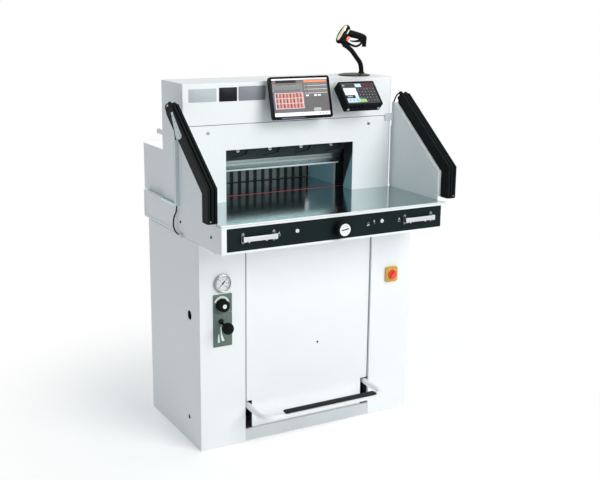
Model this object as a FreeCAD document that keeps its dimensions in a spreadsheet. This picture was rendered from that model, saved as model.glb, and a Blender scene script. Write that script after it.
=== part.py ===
# Electric paper cutter: a floor-standing guillotine with light curtains, hydraulic clamp,
# programmed backgauge, foot pedal, two screens and a hand scanner on a gooseneck.
# Frame: origin on the floor at the centre of the stand, X to the operator's right,
# Y to the back, Z up, millimetres.

import FreeCAD, Part
import Sketcher
import math
import os
import re

Vector = FreeCAD.Vector
Placement = FreeCAD.Placement
Rotation = FreeCAD.Rotation

# Driving dimensions
SIZES = {
    # stand
    "stand_width": 914,
    "stand_front": 250,
    "stand_back": 236,
    "stand_height": 790,
    "sheet": 2,
    "column_width": 182,
    "pan_thickness": 4,
    "kick_height": 50,
    "kick_recess": 2,
    "panel_recess": 10,
    "panel_gap": 1,
    "lip_width": 10,
    "slot_width": 32,
    "slot_height": 110,
    "louvre_width": 180,
    "louvre_height": 8,
    "louvre_pitch": 26,
    "louvre_start": 520,
    # bed and table
    "bed_wall": 12,
    "bed_back": 274,
    "seat_height": 5,
    "bed_height": 95,
    "plate_thickness": 10,
    "rib_depth": 28,
    "rear_table_back": 328,
    "stick_width": 10,
    "stick_length": 600,
    "stick_front": -2,
    "clearance": 0.3,
    # front beam
    "front_reach": 455,
    "beam_width": 928,
    "beam_overhang": 4,
    "beam_drop": 100,
    "beam_wall": 4,
    "trim_height": 7,
    "trim_depth": 6,
    "trim_rise": 1,
    "fascia_frame": 20,
    "fascia_drop": 92,
    "fascia_height": 81,
    "fascia_recess": 1,
    # head
    "head_width": 892,
    "head_front": -96,
    "head_back": 100,
    "head_height": 442,
    "seam_height": 290,
    "seam_gap": 2.5,
    "cover_step": 3,
    "flange": 12,
    "opening_width": 550,
    "opening_height": 193,
    "jamb_back": -28,
    "rear_gate": 182,
    "cheek_inside": 330,
    "cheek_thickness": 70,
    "cheek_front": -60,
    "cheek_back": 85,
    "head_space": 42,
    "beam_front": 67,
    "cross_bottom": 210,
    "guide_inside": 60,
    "guide_width": 60,
    # knife and carrier
    "knife_front": -7,
    "knife_back": 3,
    "knife_length": 536,
    "knife_lift": 95,
    "knife_bevel": 24,
    "knife_height": 110,
    "carrier_front": -24,
    "carrier_rise": 46,
    "carrier_shoulder": 100,
    "carrier_height": 170,
    "carrier_right": 325,
    "carrier_left": 285,
    "pocket_depth": 8,
    "pocket_width": 96,
    "pocket_height": 40,
    "bolt_pitch": 137,
    "bolt_shift": 15,
    "bolt_radius": 8,
    "bolt_rise": 176,
    # clamp
    "clamp_front": 14,
    "clamp_back": 60,
    "clamp_length": 544,
    "clamp_lift": 103,
    "clamp_height": 72,
    "rod_radius": 12,
    "rod_offset": 230,
    "rod_length": 215,
    "cylinder_radius": 30,
    "cylinder_bottom": 280,
    "cylinder_top": 400,
    # backgauge
    "comb_front": 250,
    "bar_depth": 5,
    "bar_width": 20,
    "bar_pitch": 36,
    "bar_count": 15,
    "comb_height": 100,
    "comb_gap": 3,
    "rail_depth": 6,
    "arm_width": 18,
    "slot_side_gap": 4,
    "slot_front": 40,
    "slot_back": 264,
    "screw_radius": 8,
    "screw_drop": 45,
    "guide_offset": 303,
    "nut_width": 36,
    "nut_depth": 28,
    "nut_height": 40,
    "motor_size": 60,
    "motor_length": 90,
    "lay_offset": 276,
    "lay_thickness": 4,
    "lay_front": 47,
    "lay_back": 256,
    "lay_height": 145,
    # rear table guard and clear cover
    "wall_offset": 434,
    "wall_thickness": 2,
    "wall_height": 178,
    "back_wall_height": 138,
    "rail_bottom": 237,
    "rail_height": 18,
    "rail_thickness": 12,
    "ear_reach": 155,
    "ear_thickness": 6,
    "hinge_back": 145,
    "hinge_rise": 246,
    "pin_radius": 4,
    "cover_thickness": 4,
    "cover_overhang": 4,
    # side guards and light curtains
    "guard_thickness": 3,
    "guard_front": 408,
    "guard_back": 85,
    "guard_foot": 105,
    "guard_knee": 108,
    "guard_top": 340,
    "guard_crest": 107,
    "guard_fold": 2,
    "guard_fold_reach": 20,
    "curtain_width": 36,
    "curtain_depth": 46,
    "curtain_foot": 12,
    "left_curtain_offset": 13,
    "right_curtain_offset": 10,
    "groove_width": 9,
    "groove_depth": 6,
    "duct_width": 20,
    "duct_depth": 13,
    "duct_front": 96,
    "duct_bottom": 5,
    "duct_top": 244,
    "stay_left": 422,
    "stay_bottom": 269,
    "stay_height": 28,
    "stay_thickness": 2,
    "lead_radius": 2.8,
    "lead_exit_run": 32,
    "lead_inward": 4,
    "lead_crest_back": 72,
    "lead_turn_drop": 36,
    "left_lead_swing": 30,
    "lead_entry": 34,
    "lead_foot_run": 20,
    "lead_bow": 36,
    "lead_bow_top": 56,
    "lead_bow_bottom": 94,
    "lead_gland_run": 22,
    "gland_radius": 6.5,
    "gland_length": 20,
    "gland_back": 108,
    "gland_drop": 102,
    # badges and screens
    "badge_thickness": 1.5,
    "monitor_centre": 8,
    "monitor_width": 257,
    "monitor_height": 158,
    "monitor_thickness": 12,
    "monitor_front": -170,
    "monitor_bottom": 305,
    "monitor_tilt": 14.7,
    "knuckle_radius": 9,
    "knuckle_length": 40,
    "knuckle_stand": 12,
    "ear_width": 6,
    "hinge_bore": 5,
    "unit_left": 174,
    "unit_width": 160,
    "unit_slant": 111,
    "bracket_share": 0.9,
    "unit_thickness": 38,
    "unit_front": -210,
    "unit_bottom": 349,
    "unit_tilt": 42.4,
    # hand scanner on its gooseneck
    "base_radius": 64,
    "base_height": 10,
    "base_x": 332,
    "neck_radius": 8,
    "neck_x": 366,
    "neck_straight": 36,
    "neck_shift": 20,
    "neck_bend": 62,
    "cup_reach": 37,
    "cup_drop": 21,
    "cup_x": 281,
    "cup_radius": 11,
    "cup_height": 7,
    "cup_rise": 119,
    "stub_radius": 9,
    "head_length": 84,
    "head_girth": 18,
    "head_end": 11,
    "head_tilt": 36,
    "head_x": 276,
    "scanner_rise": 35,
    "handle_radius": 12,
    "loop_radius": 4,
    "handle_corner": 14,
    "loop_corner": 10,
    "trigger_offset": 18,
    "trigger_depth": 11,
    "trigger_width": 12,
    "trigger_length": 16,
    "trigger_drop": 8.8,
    # controls on the fascia
    "wheel_radius": 30,
    "wheel_depth": 36,
    "wheel_drop": 52,
    "shaft_radius": 6,
    "shaft_length": 22,
    "button_offset": 176,
    "button_drop": 43,
    "button_radius": 8,
    "button_travel": 3,
    "bar_length": 129,
    "grip_height": 19,
    "grip_depth": 8,
    "grip_stand": 18,
    "left_bar_inset": 118.5,
    "right_bar_inset": 106.5,
    "grip_drop": 49,
    "post_radius": 4,
    "post_inset": 6,
    "oval_width": 12,
    "oval_height": 38,
    "oval_thickness": 3,
    # controls on the stand
    "gauge_x": -368,
    "gauge_drop": 150,
    "gauge_radius": 35,
    "gauge_depth": 12,
    "gauge_body": 32,
    "gauge_back": 25,
    "dial_radius": 31,
    "dial_depth": 7,
    "needle_length": 23,
    "needle_width": 2.4,
    "needle_angle": 45,
    "plate_left": -405,
    "plate_width": 75,
    "plate_depth": 2,
    "upper_plate_drop": 263,
    "upper_plate_height": 66,
    "lower_plate_drop": 390,
    "lower_plate_height": 126,
    "knob_x": -372,
    "knob_drop": 230,
    "knob_radius": 23,
    "knob_depth": 30,
    "lever_x": -374,
    "lever_from_top": 294,
    "lever_radius": 5,
    "lever_hole": 13,
    "lever_reach": 60,
    "lever_drop": 10,
    "ball_radius": 22,
    "lever_setback": 14,
    "switch_x": 365.5,
    "switch_drop": 208.5,
    "switch_width": 53,
    "switch_height": 59,
    "switch_depth": 12,
    "switch_radius": 19,
    "switch_knob_depth": 13,
    "switch_grip": 35.7,
    "large_hole": 18,
    "large_hole_y": -157,
    "large_hole_rise": 506,
    "small_hole": 9,
    "small_hole_y": -141,
    "small_hole_rise": 99,
    # foot pedal
    "pedal_offset": 262,
    "pedal_reach": 130,
    "pedal_drop": 9,
    "pedal_radius": 11,
    "pedal_corner": 45,
    "pivot_inside": 110,
    "pivot_rise": 148,
    "pivot_radius": 10,
    "tread_left": -178,
    "tread_length": 400,
    "tread_width": 30,
    "tread_thickness": 6,
    "bearing_offset": 285,
    "bearing_width": 20,
    "bearing_depth": 44,
    "bearing_height": 20,
    # power unit
    "tank_left": -240,
    "tank_width": 220,
    "tank_depth": 260,
    "tank_front": -40,
    "tank_height": 196,
    "motor_radius": 75,
    "motor_height": 220,
    "pump_radius": 40,
    "pump_height": 50,
    "box_width": 165,
    "box_depth": 110,
    "box_bottom": 250,
    "box_height": 400,
    # fixings
    "screw_head_radius": 5,
    "guard_screw_back": 18,
    "guard_screw_front": 36,
    "guard_screw_drop": 54,
    "screw_head_height": 2,
    "cover_screw_x": 346,
    "cover_screw_rise": 260,
    "lock_x": 40,
    "lock_rise": 347,
    "lock_radius": 4,
    "inlet_radius": 10,
    "inlet_x": 200,
    "inlet_rise": 120,
}
# Heights and widths that follow the table, the stand, the beam and the head
DERIVED = {
    "table_height": "stand_height + seat_height + bed_height + plate_thickness",
    "beam_bottom": "table_height - beam_drop",
    "bed_width": "beam_width - beam_overhang * 2",
    "fascia_width": "beam_width - fascia_frame * 2",
    "left_bar_x": "left_bar_inset - fascia_width / 2",
    "right_bar_x": "fascia_width / 2 - right_bar_inset",
    "wheel_rise": "table_height - wheel_drop",
    "button_rise": "table_height - button_drop",
    "grip_rise": "table_height - grip_drop",
    "fascia_bottom": "table_height - fascia_drop",
    "gauge_rise": "stand_height - gauge_drop",
    "upper_plate_bottom": "stand_height - upper_plate_drop",
    "lower_plate_bottom": "stand_height - lower_plate_drop",
    "knob_rise": "stand_height - knob_drop",
    "lever_rise": "stand_height - lever_from_top",
    "switch_rise": "stand_height - switch_drop",
    "cheek_height": "head_height - head_space",
    "cross_top": "cheek_height",
}

# Badge places on the head: name, left and right edge, low and high edge above the table
BADGES = (
    ("left", -421, -313, 374, 421),
    ("middle", -302, -231, 373, 423),
    ("right", -224, -114, 373, 425),
)
# Centre lines of the scanner's handle and of the loop under it, as X and Z from the head's centre
HANDLE_POINTS = ((6, 10), (100, -14), (100, -50))
LOOP_POINTS = ((14, -29), (48, -48), (74, -47), (98, -20))
# Outline of the left curtain's bracket, as places in front of the bed's middle and above the table
BRACKET_POINTS = ((50, 340), (38, 327), (94, 247), (135, 247), (135, 295), (100, 322))

doc = FreeCAD.newDocument("PaperCutter")
sheet = doc.addObject("Spreadsheet::Sheet", "Sizes")
CELLS = {**SIZES, **{name: "=" + text for name, text in DERIVED.items()}}
for row, (name, value) in enumerate(CELLS.items(), 1):
    sheet.set(f"A{row}", name)
    sheet.set(f"B{row}", str(value))
    sheet.setAlias(f"B{row}", name)
doc.recompute()


def size(name):
    return float(sheet.get(name))


def formula(text):
    """The same expression with each size's name read from the sheet."""
    def named(match):
        word = match.group()
        return "Sizes." + word if word in CELLS else word
    return re.sub(r"[a-z]\w*", named, text)


def bind(item, path, text):
    item.setExpression(path, formula(text))


def block(label, x, y, z):
    """A box between low and high limits, each pair given as expressions."""
    item = doc.addObject("Part::Box", label)
    for side, (low, high) in zip(("Length", "Width", "Height"), (x, y, z)):
        bind(item, side, f"({high}) - ({low})")
    for axis, (low, high) in zip("xyz", (x, y, z)):
        bind(item, "Placement.Base." + axis, low)
    return item


TURNS = {
    "X": Rotation(Vector(0, 1, 0), 90),
    "Y": Rotation(Vector(1, 0, 0), -90),
    "Z": Rotation(),
}


def rod(label, direction, start, radius, length):
    """A cylinder that runs from its start along +X, +Y or +Z."""
    item = doc.addObject("Part::Cylinder", label)
    item.Placement = Placement(Vector(), TURNS[direction])
    bind(item, "Radius", radius)
    bind(item, "Height", length)
    for axis, place in zip("xyz", start):
        bind(item, "Placement.Base." + axis, place)
    return item


def cut(label, base, *tools):
    item = doc.addObject("Part::Cut", label)
    item.Base = base
    item.Tool = tools[0] if len(tools) == 1 else fuse(label + "_tools", *tools)
    return item


def fuse(label, *shapes):
    item = doc.addObject("Part::MultiFuse", label)
    item.Shapes = list(shapes)
    item.Refine = True
    return item


def group(label, *shapes):
    """Separate solids that share one node."""
    item = doc.addObject("Part::Compound", label)
    item.Links = list(shapes)
    return item


def plate(label, plane, points, start, depth):
    """A body padded from a polygon drawn on XY, XZ or YZ, towards the plane's positive side."""
    body = doc.addObject("PartDesign::Body", label)
    sketch = body.newObject("Sketcher::SketchObject", label + "_sketch")
    origin_planes = body.Origin.OriginFeatures
    support = next(item for item in origin_planes if item.Role == plane + "_Plane")
    sketch.AttachmentSupport = (support, [""])
    sketch.MapMode = "FlatFace"
    count = len(points)
    rough = [(10 * math.cos(2 * math.pi * i / count), 10 * math.sin(2 * math.pi * i / count))
             for i in range(count)]
    for i in range(count):
        first = Vector(*rough[i], 0)
        second = Vector(*rough[(i + 1) % count], 0)
        sketch.addGeometry(Part.LineSegment(first, second))
    for i in range(count):
        sketch.addConstraint(Sketcher.Constraint("Coincident", i, 2, (i + 1) % count, 1))
    for i, place in enumerate(points):
        for kind, text, guess in zip(("DistanceX", "DistanceY"), place, rough[i]):
            index = sketch.addConstraint(Sketcher.Constraint(kind, -1, 1, i, 1, guess))
            bind(sketch, f"Constraints[{index}]", text)
    pad = body.newObject("PartDesign::Pad", label + "_pad")
    pad.Profile = sketch
    pad.Reversed = plane == "XZ"
    bind(pad, "Length", depth)
    bind(body, "Placement.Base." + {"YZ": "x", "XZ": "y", "XY": "z"}[plane], start)
    return body


def mirrored(label, source):
    """The same piece on the other side of the plane X = 0."""
    item = doc.addObject("Part::Mirroring", label)
    item.Source = source
    item.Base = Vector(0, 0, 0)
    item.Normal = Vector(1, 0, 0)
    return item


def routed(points, corner=None):
    """A wire of straight runs joined by tangent arcs; prints its tightest radius."""
    vectors = [Vector(*point) for point in points]
    edges = []
    start = vectors[0]
    radii = []
    for before, here, after in zip(vectors, vectors[1:], vectors[2:]):
        back = (before - here).normalize()
        ahead = (after - here).normalize()
        half_turn = (math.pi - back.getAngle(ahead)) / 2
        shorter = min((before - here).Length, (after - here).Length)
        reach = corner * math.tan(half_turn) if corner else 0.45 * shorter
        radii.append(reach / math.tan(half_turn))
        arc_start = here + back * reach
        arc_end = here + ahead * reach
        inward = (back + ahead).normalize()
        rise = reach * math.tan((math.pi / 2 - half_turn)) * (1 / math.cos(half_turn) - 1)
        edges.append(Part.LineSegment(start, arc_start).toShape())
        edges.append(Part.Arc(arc_start, here + inward * rise, arc_end).toShape())
        start = arc_end
    edges.append(Part.LineSegment(start, vectors[-1]).toShape())
    print("tightest arc", round(min(radii), 1), "runs", len(vectors) - 1)
    return Part.Wire(edges)


def tube(wire, radius):
    """A round tube along a wire, its volume compared with section times length."""
    first = wire.Edges[0]
    direction = first.tangentAt(first.FirstParameter)
    ring = Part.Wire([Part.Circle(first.valueAt(first.FirstParameter), direction, radius).toShape()])
    solid = wire.makePipeShell([ring], True, False)
    expected = math.pi * radius ** 2 * wire.Length
    if abs(solid.Volume / expected - 1) > 0.01:
        raise ValueError("the tube's volume differs from its section times its length")
    return solid


def feature(label, shape):
    item = doc.addObject("Part::Feature", label)
    item.Shape = shape
    return item


def egg(half_length, half_width, end_radius):
    """A solid turned about X: one flat side arc that runs into a tighter arc at each end."""
    reach = half_length - end_radius
    side_radius = (reach ** 2 + half_width ** 2 - end_radius ** 2) / (2 * (half_width - end_radius))
    drop = side_radius - half_width
    joint = Vector(reach, drop, 0) * (side_radius / (side_radius - end_radius)) - Vector(0, drop, 0)
    angle = math.atan2(drop, reach) / 2
    middle = Vector(reach + end_radius * math.cos(angle), end_radius * math.sin(angle), 0)
    tip = Vector(half_length, 0, 0)

    def opposite(point):
        return Vector(-point.x, point.y, 0)

    edges = [
        Part.Arc(tip, middle, joint).toShape(),
        Part.Arc(joint, Vector(0, half_width, 0), opposite(joint)).toShape(),
        Part.Arc(opposite(joint), opposite(middle), opposite(tip)).toShape(),
        Part.LineSegment(opposite(tip), tip).toShape(),
    ]
    return Part.Face(Part.Wire(edges)).revolve(Vector(), Vector(1, 0, 0), 360)


# Places that several pieces share, as expressions of the sizes
HALF = "stand_width / 2"
FRONT = "-stand_front"
BACK = "stand_back"
DOOR = "(stand_width / 2 - column_width)"
BED_BOTTOM = "(stand_height + seat_height)"
TABLE = "table_height"
PLATE_BOTTOM = "(stand_height + seat_height + bed_height)"
BED = "bed_width / 2"
BEAM_FRONT = "-front_reach"
BEAM_BACK = "(-guard_front - clearance)"
HEAD = "head_width / 2"
HEAD_TOP = f"({TABLE} + head_height)"
OPENING = "opening_width / 2"
STICK_BACK = "(stick_front + stick_width)"
FASCIA_FACE = "(-front_reach + fascia_recess)"
FASCIA_BACK = "(-front_reach + beam_wall)"
SCREW_LINE = f"({TABLE} - screw_drop)"
GUARD_INSIDE = "(bed_width / 2 + clearance)"
GUARD_OUTSIDE = "(bed_width / 2 + clearance + guard_thickness)"
NODES = []


def node(item):
    NODES.append(item)
    return item


# Stand
def build_stand():
    node(block("base_pan", (f"-{HALF} + sheet", f"{HALF} - sheet"),
               (f"{FRONT} + sheet", f"{BACK} - sheet"), ("0", "pan_thickness")))
    for side, name in ((-1, "left"), (1, "right")):
        shell = block(f"column_shell_{name}", (DOOR, HALF), (FRONT, BACK), ("0", "stand_height"))
        inside = block(f"column_inside_{name}", (f"{DOOR} - 1", f"{HALF} - sheet"),
                       (f"{FRONT} + sheet", f"{BACK} - sheet"), ("-1", "stand_height - sheet"))
        hollow = cut(f"column_hollow_{name}", shell, inside)
        fold = block(f"column_fold_{name}", (DOOR, f"{DOOR} + sheet"),
                     (FRONT, f"{FRONT} + panel_recess + sheet * 2"),
                     ("pan_thickness", "stand_height"))
        lip = block(f"column_lip_{name}", (f"{DOOR} - lip_width", DOOR),
                    (f"{FRONT} + panel_recess + sheet", f"{FRONT} + panel_recess + sheet * 2"),
                    ("kick_height + slot_height + sheet", "stand_height - sheet"))
        bare = fuse(f"column_bare_{name}", hollow, fold, lip)
        if side < 0:
            turned = mirrored("column_turned_left", bare)
            holes = [
                rod("gauge_hole", "Y", ("gauge_x", f"{FRONT} - 1", "gauge_rise"),
                    "gauge_body + clearance", "sheet + 2"),
                rod("knob_hole", "Y", ("knob_x", f"{FRONT} - 1", "knob_rise"),
                    "shaft_radius + clearance", "sheet + 2"),
                rod("lever_opening", "Y", ("lever_x", f"{FRONT} - 1", "lever_rise"),
                    "lever_hole", "sheet + 2"),
                rod("cable_hole", "X", (f"-{HALF} - 1", "large_hole_y", "large_hole_rise"),
                    "large_hole", "sheet + 2"),
                rod("vent_hole", "X", (f"-{HALF} - 1", "small_hole_y", "small_hole_rise"),
                    "small_hole", "sheet + 2"),
            ]
            node(cut("stand_column_left", turned, *holes))
        else:
            hole = rod("switch_hole", "Y", ("switch_x", f"{FRONT} - 1", "switch_rise"),
                       "shaft_radius + clearance", "sheet + 2")
            node(cut("stand_column_right", bare, hole))
    back = block("rear_sheet", (f"-{DOOR}", DOOR), (f"{BACK} - sheet", BACK),
                 ("pan_thickness", "stand_height - sheet"))
    louvres = []
    for index in range(6):
        rise = f"louvre_start + louvre_pitch * {index}"
        louvres.append(block(f"louvre_{index}", ("-louvre_width / 2", "louvre_width / 2"),
                             (f"{BACK} - sheet - 1", f"{BACK} + 1"),
                             (rise, f"{rise} + louvre_height")))
    inlet = rod("inlet_hole", "Y", ("inlet_x", f"{BACK} - sheet - 1", "inlet_rise"),
                "inlet_radius", "sheet + 2")
    node(cut("rear_panel", back, inlet, *louvres))
    panel = block("panel_sheet", (f"-{DOOR} + panel_gap", f"{DOOR} - panel_gap"),
                  (f"{FRONT} + panel_recess", f"{FRONT} + panel_recess + sheet"),
                  ("kick_height + panel_gap", "stand_height - sheet"))
    slots = []
    for side, low, high in (("left", f"-{DOOR} - 1", f"-{DOOR} + slot_width"),
                            ("right", f"{DOOR} - slot_width", f"{DOOR} + 1")):
        slots.append(block(f"pedal_slot_{side}", (low, high),
                           (f"{FRONT} + panel_recess - 1", f"{FRONT} + panel_recess + sheet + 1"),
                           ("kick_height", "kick_height + slot_height")))
    node(cut("front_panel", panel, *slots))
    face = block("kick_face", (f"-{DOOR}", DOOR),
                 (f"{FRONT} + kick_recess", f"{FRONT} + kick_recess + sheet"),
                 ("pan_thickness", "kick_height"))
    shelf = block("kick_shelf", (f"-{DOOR}", DOOR),
                  (f"{FRONT} + kick_recess", f"{FRONT} + panel_recess + sheet * 2"),
                  ("kick_height - sheet", "kick_height"))
    node(fuse("kick_plate", face, shelf))


# Bed, table plates and front beam
def build_table():
    floor_top = f"({BED_BOTTOM} + bed_wall)"
    tall = (floor_top, PLATE_BOTTOM)
    inside = f"({BED} - bed_wall)"
    front_wall = (BEAM_BACK, f"{BEAM_BACK} + bed_wall")
    back_wall = ("bed_back - bed_wall", "bed_back")
    floor = block("bed_floor", (f"-{BED}", BED), (BEAM_BACK, "bed_back"), (BED_BOTTOM, floor_top))
    seat = block("bed_seat", (f"-{HALF} + sheet", f"{HALF} - sheet"),
                 (f"{FRONT} + sheet", f"{BACK} - sheet"), ("stand_height", BED_BOTTOM))
    front_plate = block("bed_front_wall", (f"-{BED}", BED), front_wall, tall)
    side = block("bed_right_wall", (inside, BED), (front_wall[1], back_wall[0]), tall)
    rib = block("bed_rib", (f"-{inside}", inside),
                ("stick_front - rib_depth / 2", "stick_front + rib_depth"), tall)
    back_plate = block("bed_back_wall", (f"-{BED}", BED), back_wall, tall)
    bore = rod("bed_screw_bore", "Y", ("guide_offset", "stick_front - rib_depth / 2 - 1", SCREW_LINE),
               "screw_radius + clearance", "bed_back - stick_front + rib_depth")
    node(group("machine_bed", floor, seat, front_plate, side, mirrored("bed_left_wall", side),
               cut("bed_bored_rib", rib, bore), cut("bed_bored_back", back_plate, bore)))
    front = block("front_plate_sheet", (f"-{BED}", BED),
                  (f"{BEAM_FRONT} + trim_depth", f"{STICK_BACK} + clearance"),
                  (PLATE_BOTTOM, TABLE))
    stick_slot = block("stick_slot", ("-stick_length / 2 - clearance", "stick_length / 2 + clearance"),
                       ("stick_front - clearance", f"{STICK_BACK} + clearance + 1"),
                       (f"{PLATE_BOTTOM} - 1", f"{TABLE} + 1"))
    node(cut("front_table_plate", front, stick_slot))
    rear = block("rear_plate_sheet", (f"-{BED}", BED),
                 (f"{STICK_BACK} + clearance", "rear_table_back"), (PLATE_BOTTOM, TABLE))
    gauge_slot = block("gauge_slot_right", ("guide_offset - arm_width / 2 - slot_side_gap",
                                            "guide_offset + arm_width / 2 + slot_side_gap"),
                       ("slot_front", "slot_back"), (f"{PLATE_BOTTOM} - 1", f"{TABLE} + 1"))
    corner = block("rear_corner_right", ("wall_offset + wall_thickness", f"{BED} + 1"),
                   ("bed_back", "rear_table_back + 1"), (f"{PLATE_BOTTOM} - 1", f"{TABLE} + 1"))
    node(cut("rear_table_plate", rear, gauge_slot, mirrored("gauge_slot_left", gauge_slot),
             corner, mirrored("rear_corner_left", corner)))
    node(block("cutting_stick", ("-stick_length / 2", "stick_length / 2"),
               ("stick_front", STICK_BACK), (PLATE_BOTTOM, TABLE)))
    outer = block("beam_outer", ("-beam_width / 2", "beam_width / 2"),
                  (BEAM_FRONT, BEAM_BACK), ("beam_bottom", f"{TABLE} + trim_rise - trim_height"))
    inner = block("beam_inner", ("-beam_width / 2 + beam_wall", "beam_width / 2 - beam_wall"),
                  (FASCIA_BACK, f"{BEAM_BACK} + 1"), ("beam_bottom + beam_wall", f"{TABLE} + 1"))
    window = block("fascia_window", ("-fascia_width / 2", "fascia_width / 2"),
                   (f"{BEAM_FRONT} - 1", f"{FASCIA_BACK} + 1"),
                   ("fascia_bottom", "fascia_bottom + fascia_height"))
    node(cut("front_beam", outer, inner, window))
    node(block("table_front_trim", ("-beam_width / 2", "beam_width / 2"),
               (BEAM_FRONT, f"{BEAM_FRONT} + trim_depth"),
               (f"{TABLE} + trim_rise - trim_height", f"{TABLE} + trim_rise")))
    face = block("fascia_face", ("-fascia_width / 2 + clearance", "fascia_width / 2 - clearance"),
                 (FASCIA_FACE, FASCIA_BACK),
                 ("fascia_bottom + clearance", "fascia_bottom + fascia_height - clearance"))
    backing = block("fascia_backing", ("-beam_width / 2 + beam_wall * 2", "beam_width / 2 - beam_wall * 2"),
                    (FASCIA_BACK, f"{FASCIA_BACK} + sheet"),
                    ("beam_bottom + beam_wall", f"{PLATE_BOTTOM} - clearance"))
    holes = [rod("wheel_hole", "Y", ("0", f"{BEAM_FRONT} - 1", "wheel_rise"),
                 "shaft_radius + clearance", "shaft_length")]
    for side, name in (("-", "left"), ("", "right")):
        holes.append(rod(f"button_hole_{name}", "Y",
                         (f"{side}button_offset", f"{BEAM_FRONT} - 1", "button_rise"),
                         "shaft_radius + clearance", "shaft_length"))
        for end, sign in (("a", "-"), ("b", "+")):
            place = f"{name}_bar_x {sign} (bar_length / 2 - post_inset)"
            holes.append(rod(f"post_hole_{name}_{end}", "Y", (place, f"{BEAM_FRONT} - 1", "grip_rise"),
                             "post_radius + clearance", "shaft_length"))
    node(cut("control_fascia", fuse("fascia_solid", face, backing), *holes))


# Head: inner frame and the sheet covers round it
def build_head():
    cheek = block("cheek_right", ("cheek_inside", "cheek_inside + cheek_thickness"),
                  ("cheek_front", "cheek_back"), (TABLE, f"{TABLE} + cheek_height"))
    cross = block("cross_beam", ("-cheek_inside", "cheek_inside"), ("beam_front", "cheek_back"),
                  (f"{TABLE} + cross_bottom", f"{TABLE} + cross_top"))
    guide = block("carrier_guide_right", ("guide_inside", "guide_inside + guide_width"),
                  ("knife_back + clearance", "beam_front"),
                  (f"{TABLE} + cross_bottom", f"{TABLE} + cross_top"))
    node(fuse("head_frame", cheek, mirrored("cheek_left", cheek), cross, guide,
              mirrored("carrier_guide_left", guide)))
    outer = block("casing_outer", (f"-{HEAD}", HEAD), ("head_front", "head_back"), (TABLE, HEAD_TOP))
    inner = block("casing_inner", (f"-{HEAD} + sheet", f"{HEAD} - sheet"),
                  ("head_front - 1", "head_back + 1"), (f"{TABLE} - 1", f"{HEAD_TOP} - sheet"))
    node(cut("head_casing", outer, inner))
    wide = (f"-{HEAD} + sheet", f"{HEAD} - sheet")
    seam = f"({TABLE} + seam_height)"
    upper_face = block("upper_face", wide, ("head_front", "head_front + sheet"),
                       (seam, f"{HEAD_TOP} - sheet"))
    upper_flange = block("upper_flange", wide, ("head_front", "head_front + sheet + flange"),
                         (seam, f"{seam} + sheet"))
    node(fuse("head_upper_cover", upper_face, upper_flange))
    lower_front = "(head_front + cover_step)"
    lower_top = f"({seam} - seam_gap)"
    face = block("lower_face", wide, (lower_front, f"{lower_front} + sheet"), (TABLE, lower_top))
    flange = block("lower_flange", wide, (lower_front, f"{lower_front} + flange"),
                   (f"{lower_top} - sheet", lower_top))
    jambs = block("jamb_sheet", (f"-{OPENING} - sheet", f"{OPENING} + sheet"),
                  (lower_front, "jamb_back"), (TABLE, f"{TABLE} + opening_height + sheet"))
    throat = block("throat", (f"-{OPENING}", OPENING), (f"{lower_front} - 1", "jamb_back + 1"),
                   (f"{TABLE} - 1", f"{TABLE} + opening_height"))
    node(cut("head_lower_cover", fuse("lower_solid", face, flange, jambs), throat))
    node(block("head_rear_cover", wide, ("head_back - sheet", "head_back"),
               (f"{TABLE} + rear_gate", f"{HEAD_TOP} - sheet")))


# Knife, its carrier and its bolts
def build_knife():
    lift = f"({TABLE} + knife_lift)"
    node(plate("knife", "YZ", [
        ("knife_back", f"{lift}"),
        ("knife_back", f"{lift} + knife_height"),
        ("knife_front", f"{lift} + knife_height"),
        ("knife_front", f"{lift} + knife_bevel"),
    ], "-knife_length / 2", "knife_length"))
    low = block("carrier_low", ("-knife_length / 2", "knife_length / 2"),
                ("carrier_front", "knife_front"),
                (f"{lift} + carrier_rise", f"{lift} + carrier_shoulder"))
    high = block("carrier_high", ("-carrier_left", "carrier_right"), ("carrier_front", "knife_front"),
                 (f"{lift} + carrier_shoulder", f"{lift} + carrier_height"))
    spine = block("carrier_spine", ("-carrier_left", "carrier_right"), ("knife_front", "knife_back"),
                  (f"{lift} + knife_height", f"{lift} + carrier_height"))
    pockets = []
    bolts = []
    for index in range(4):
        centre = f"(bolt_pitch * {index - 1.5} + bolt_shift)"
        pockets.append(plate(f"pocket_{index}", "XZ", [
            (f"{centre} - pocket_width / 3", f"{lift} + carrier_rise + pocket_height / 5"),
            (f"{centre} + pocket_width / 3", f"{lift} + carrier_rise + pocket_height / 2"),
            (f"{centre} + pocket_width / 2", f"{lift} + carrier_rise + pocket_height * 1.3"),
            (f"{centre} - pocket_width / 3", f"{lift} + carrier_rise + pocket_height * 1.3"),
        ], "carrier_front - 1", "pocket_depth + 1"))
        bolts.append(rod(f"knife_bolt_{index}", "Y",
                         (centre, "carrier_front + pocket_depth - bolt_radius", f"{TABLE} + bolt_rise"),
                         "bolt_radius", "bolt_radius"))
    node(cut("knife_carrier", fuse("carrier_solid", low, high, spine), *pockets))
    node(group("knife_bolts", *bolts))


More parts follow.
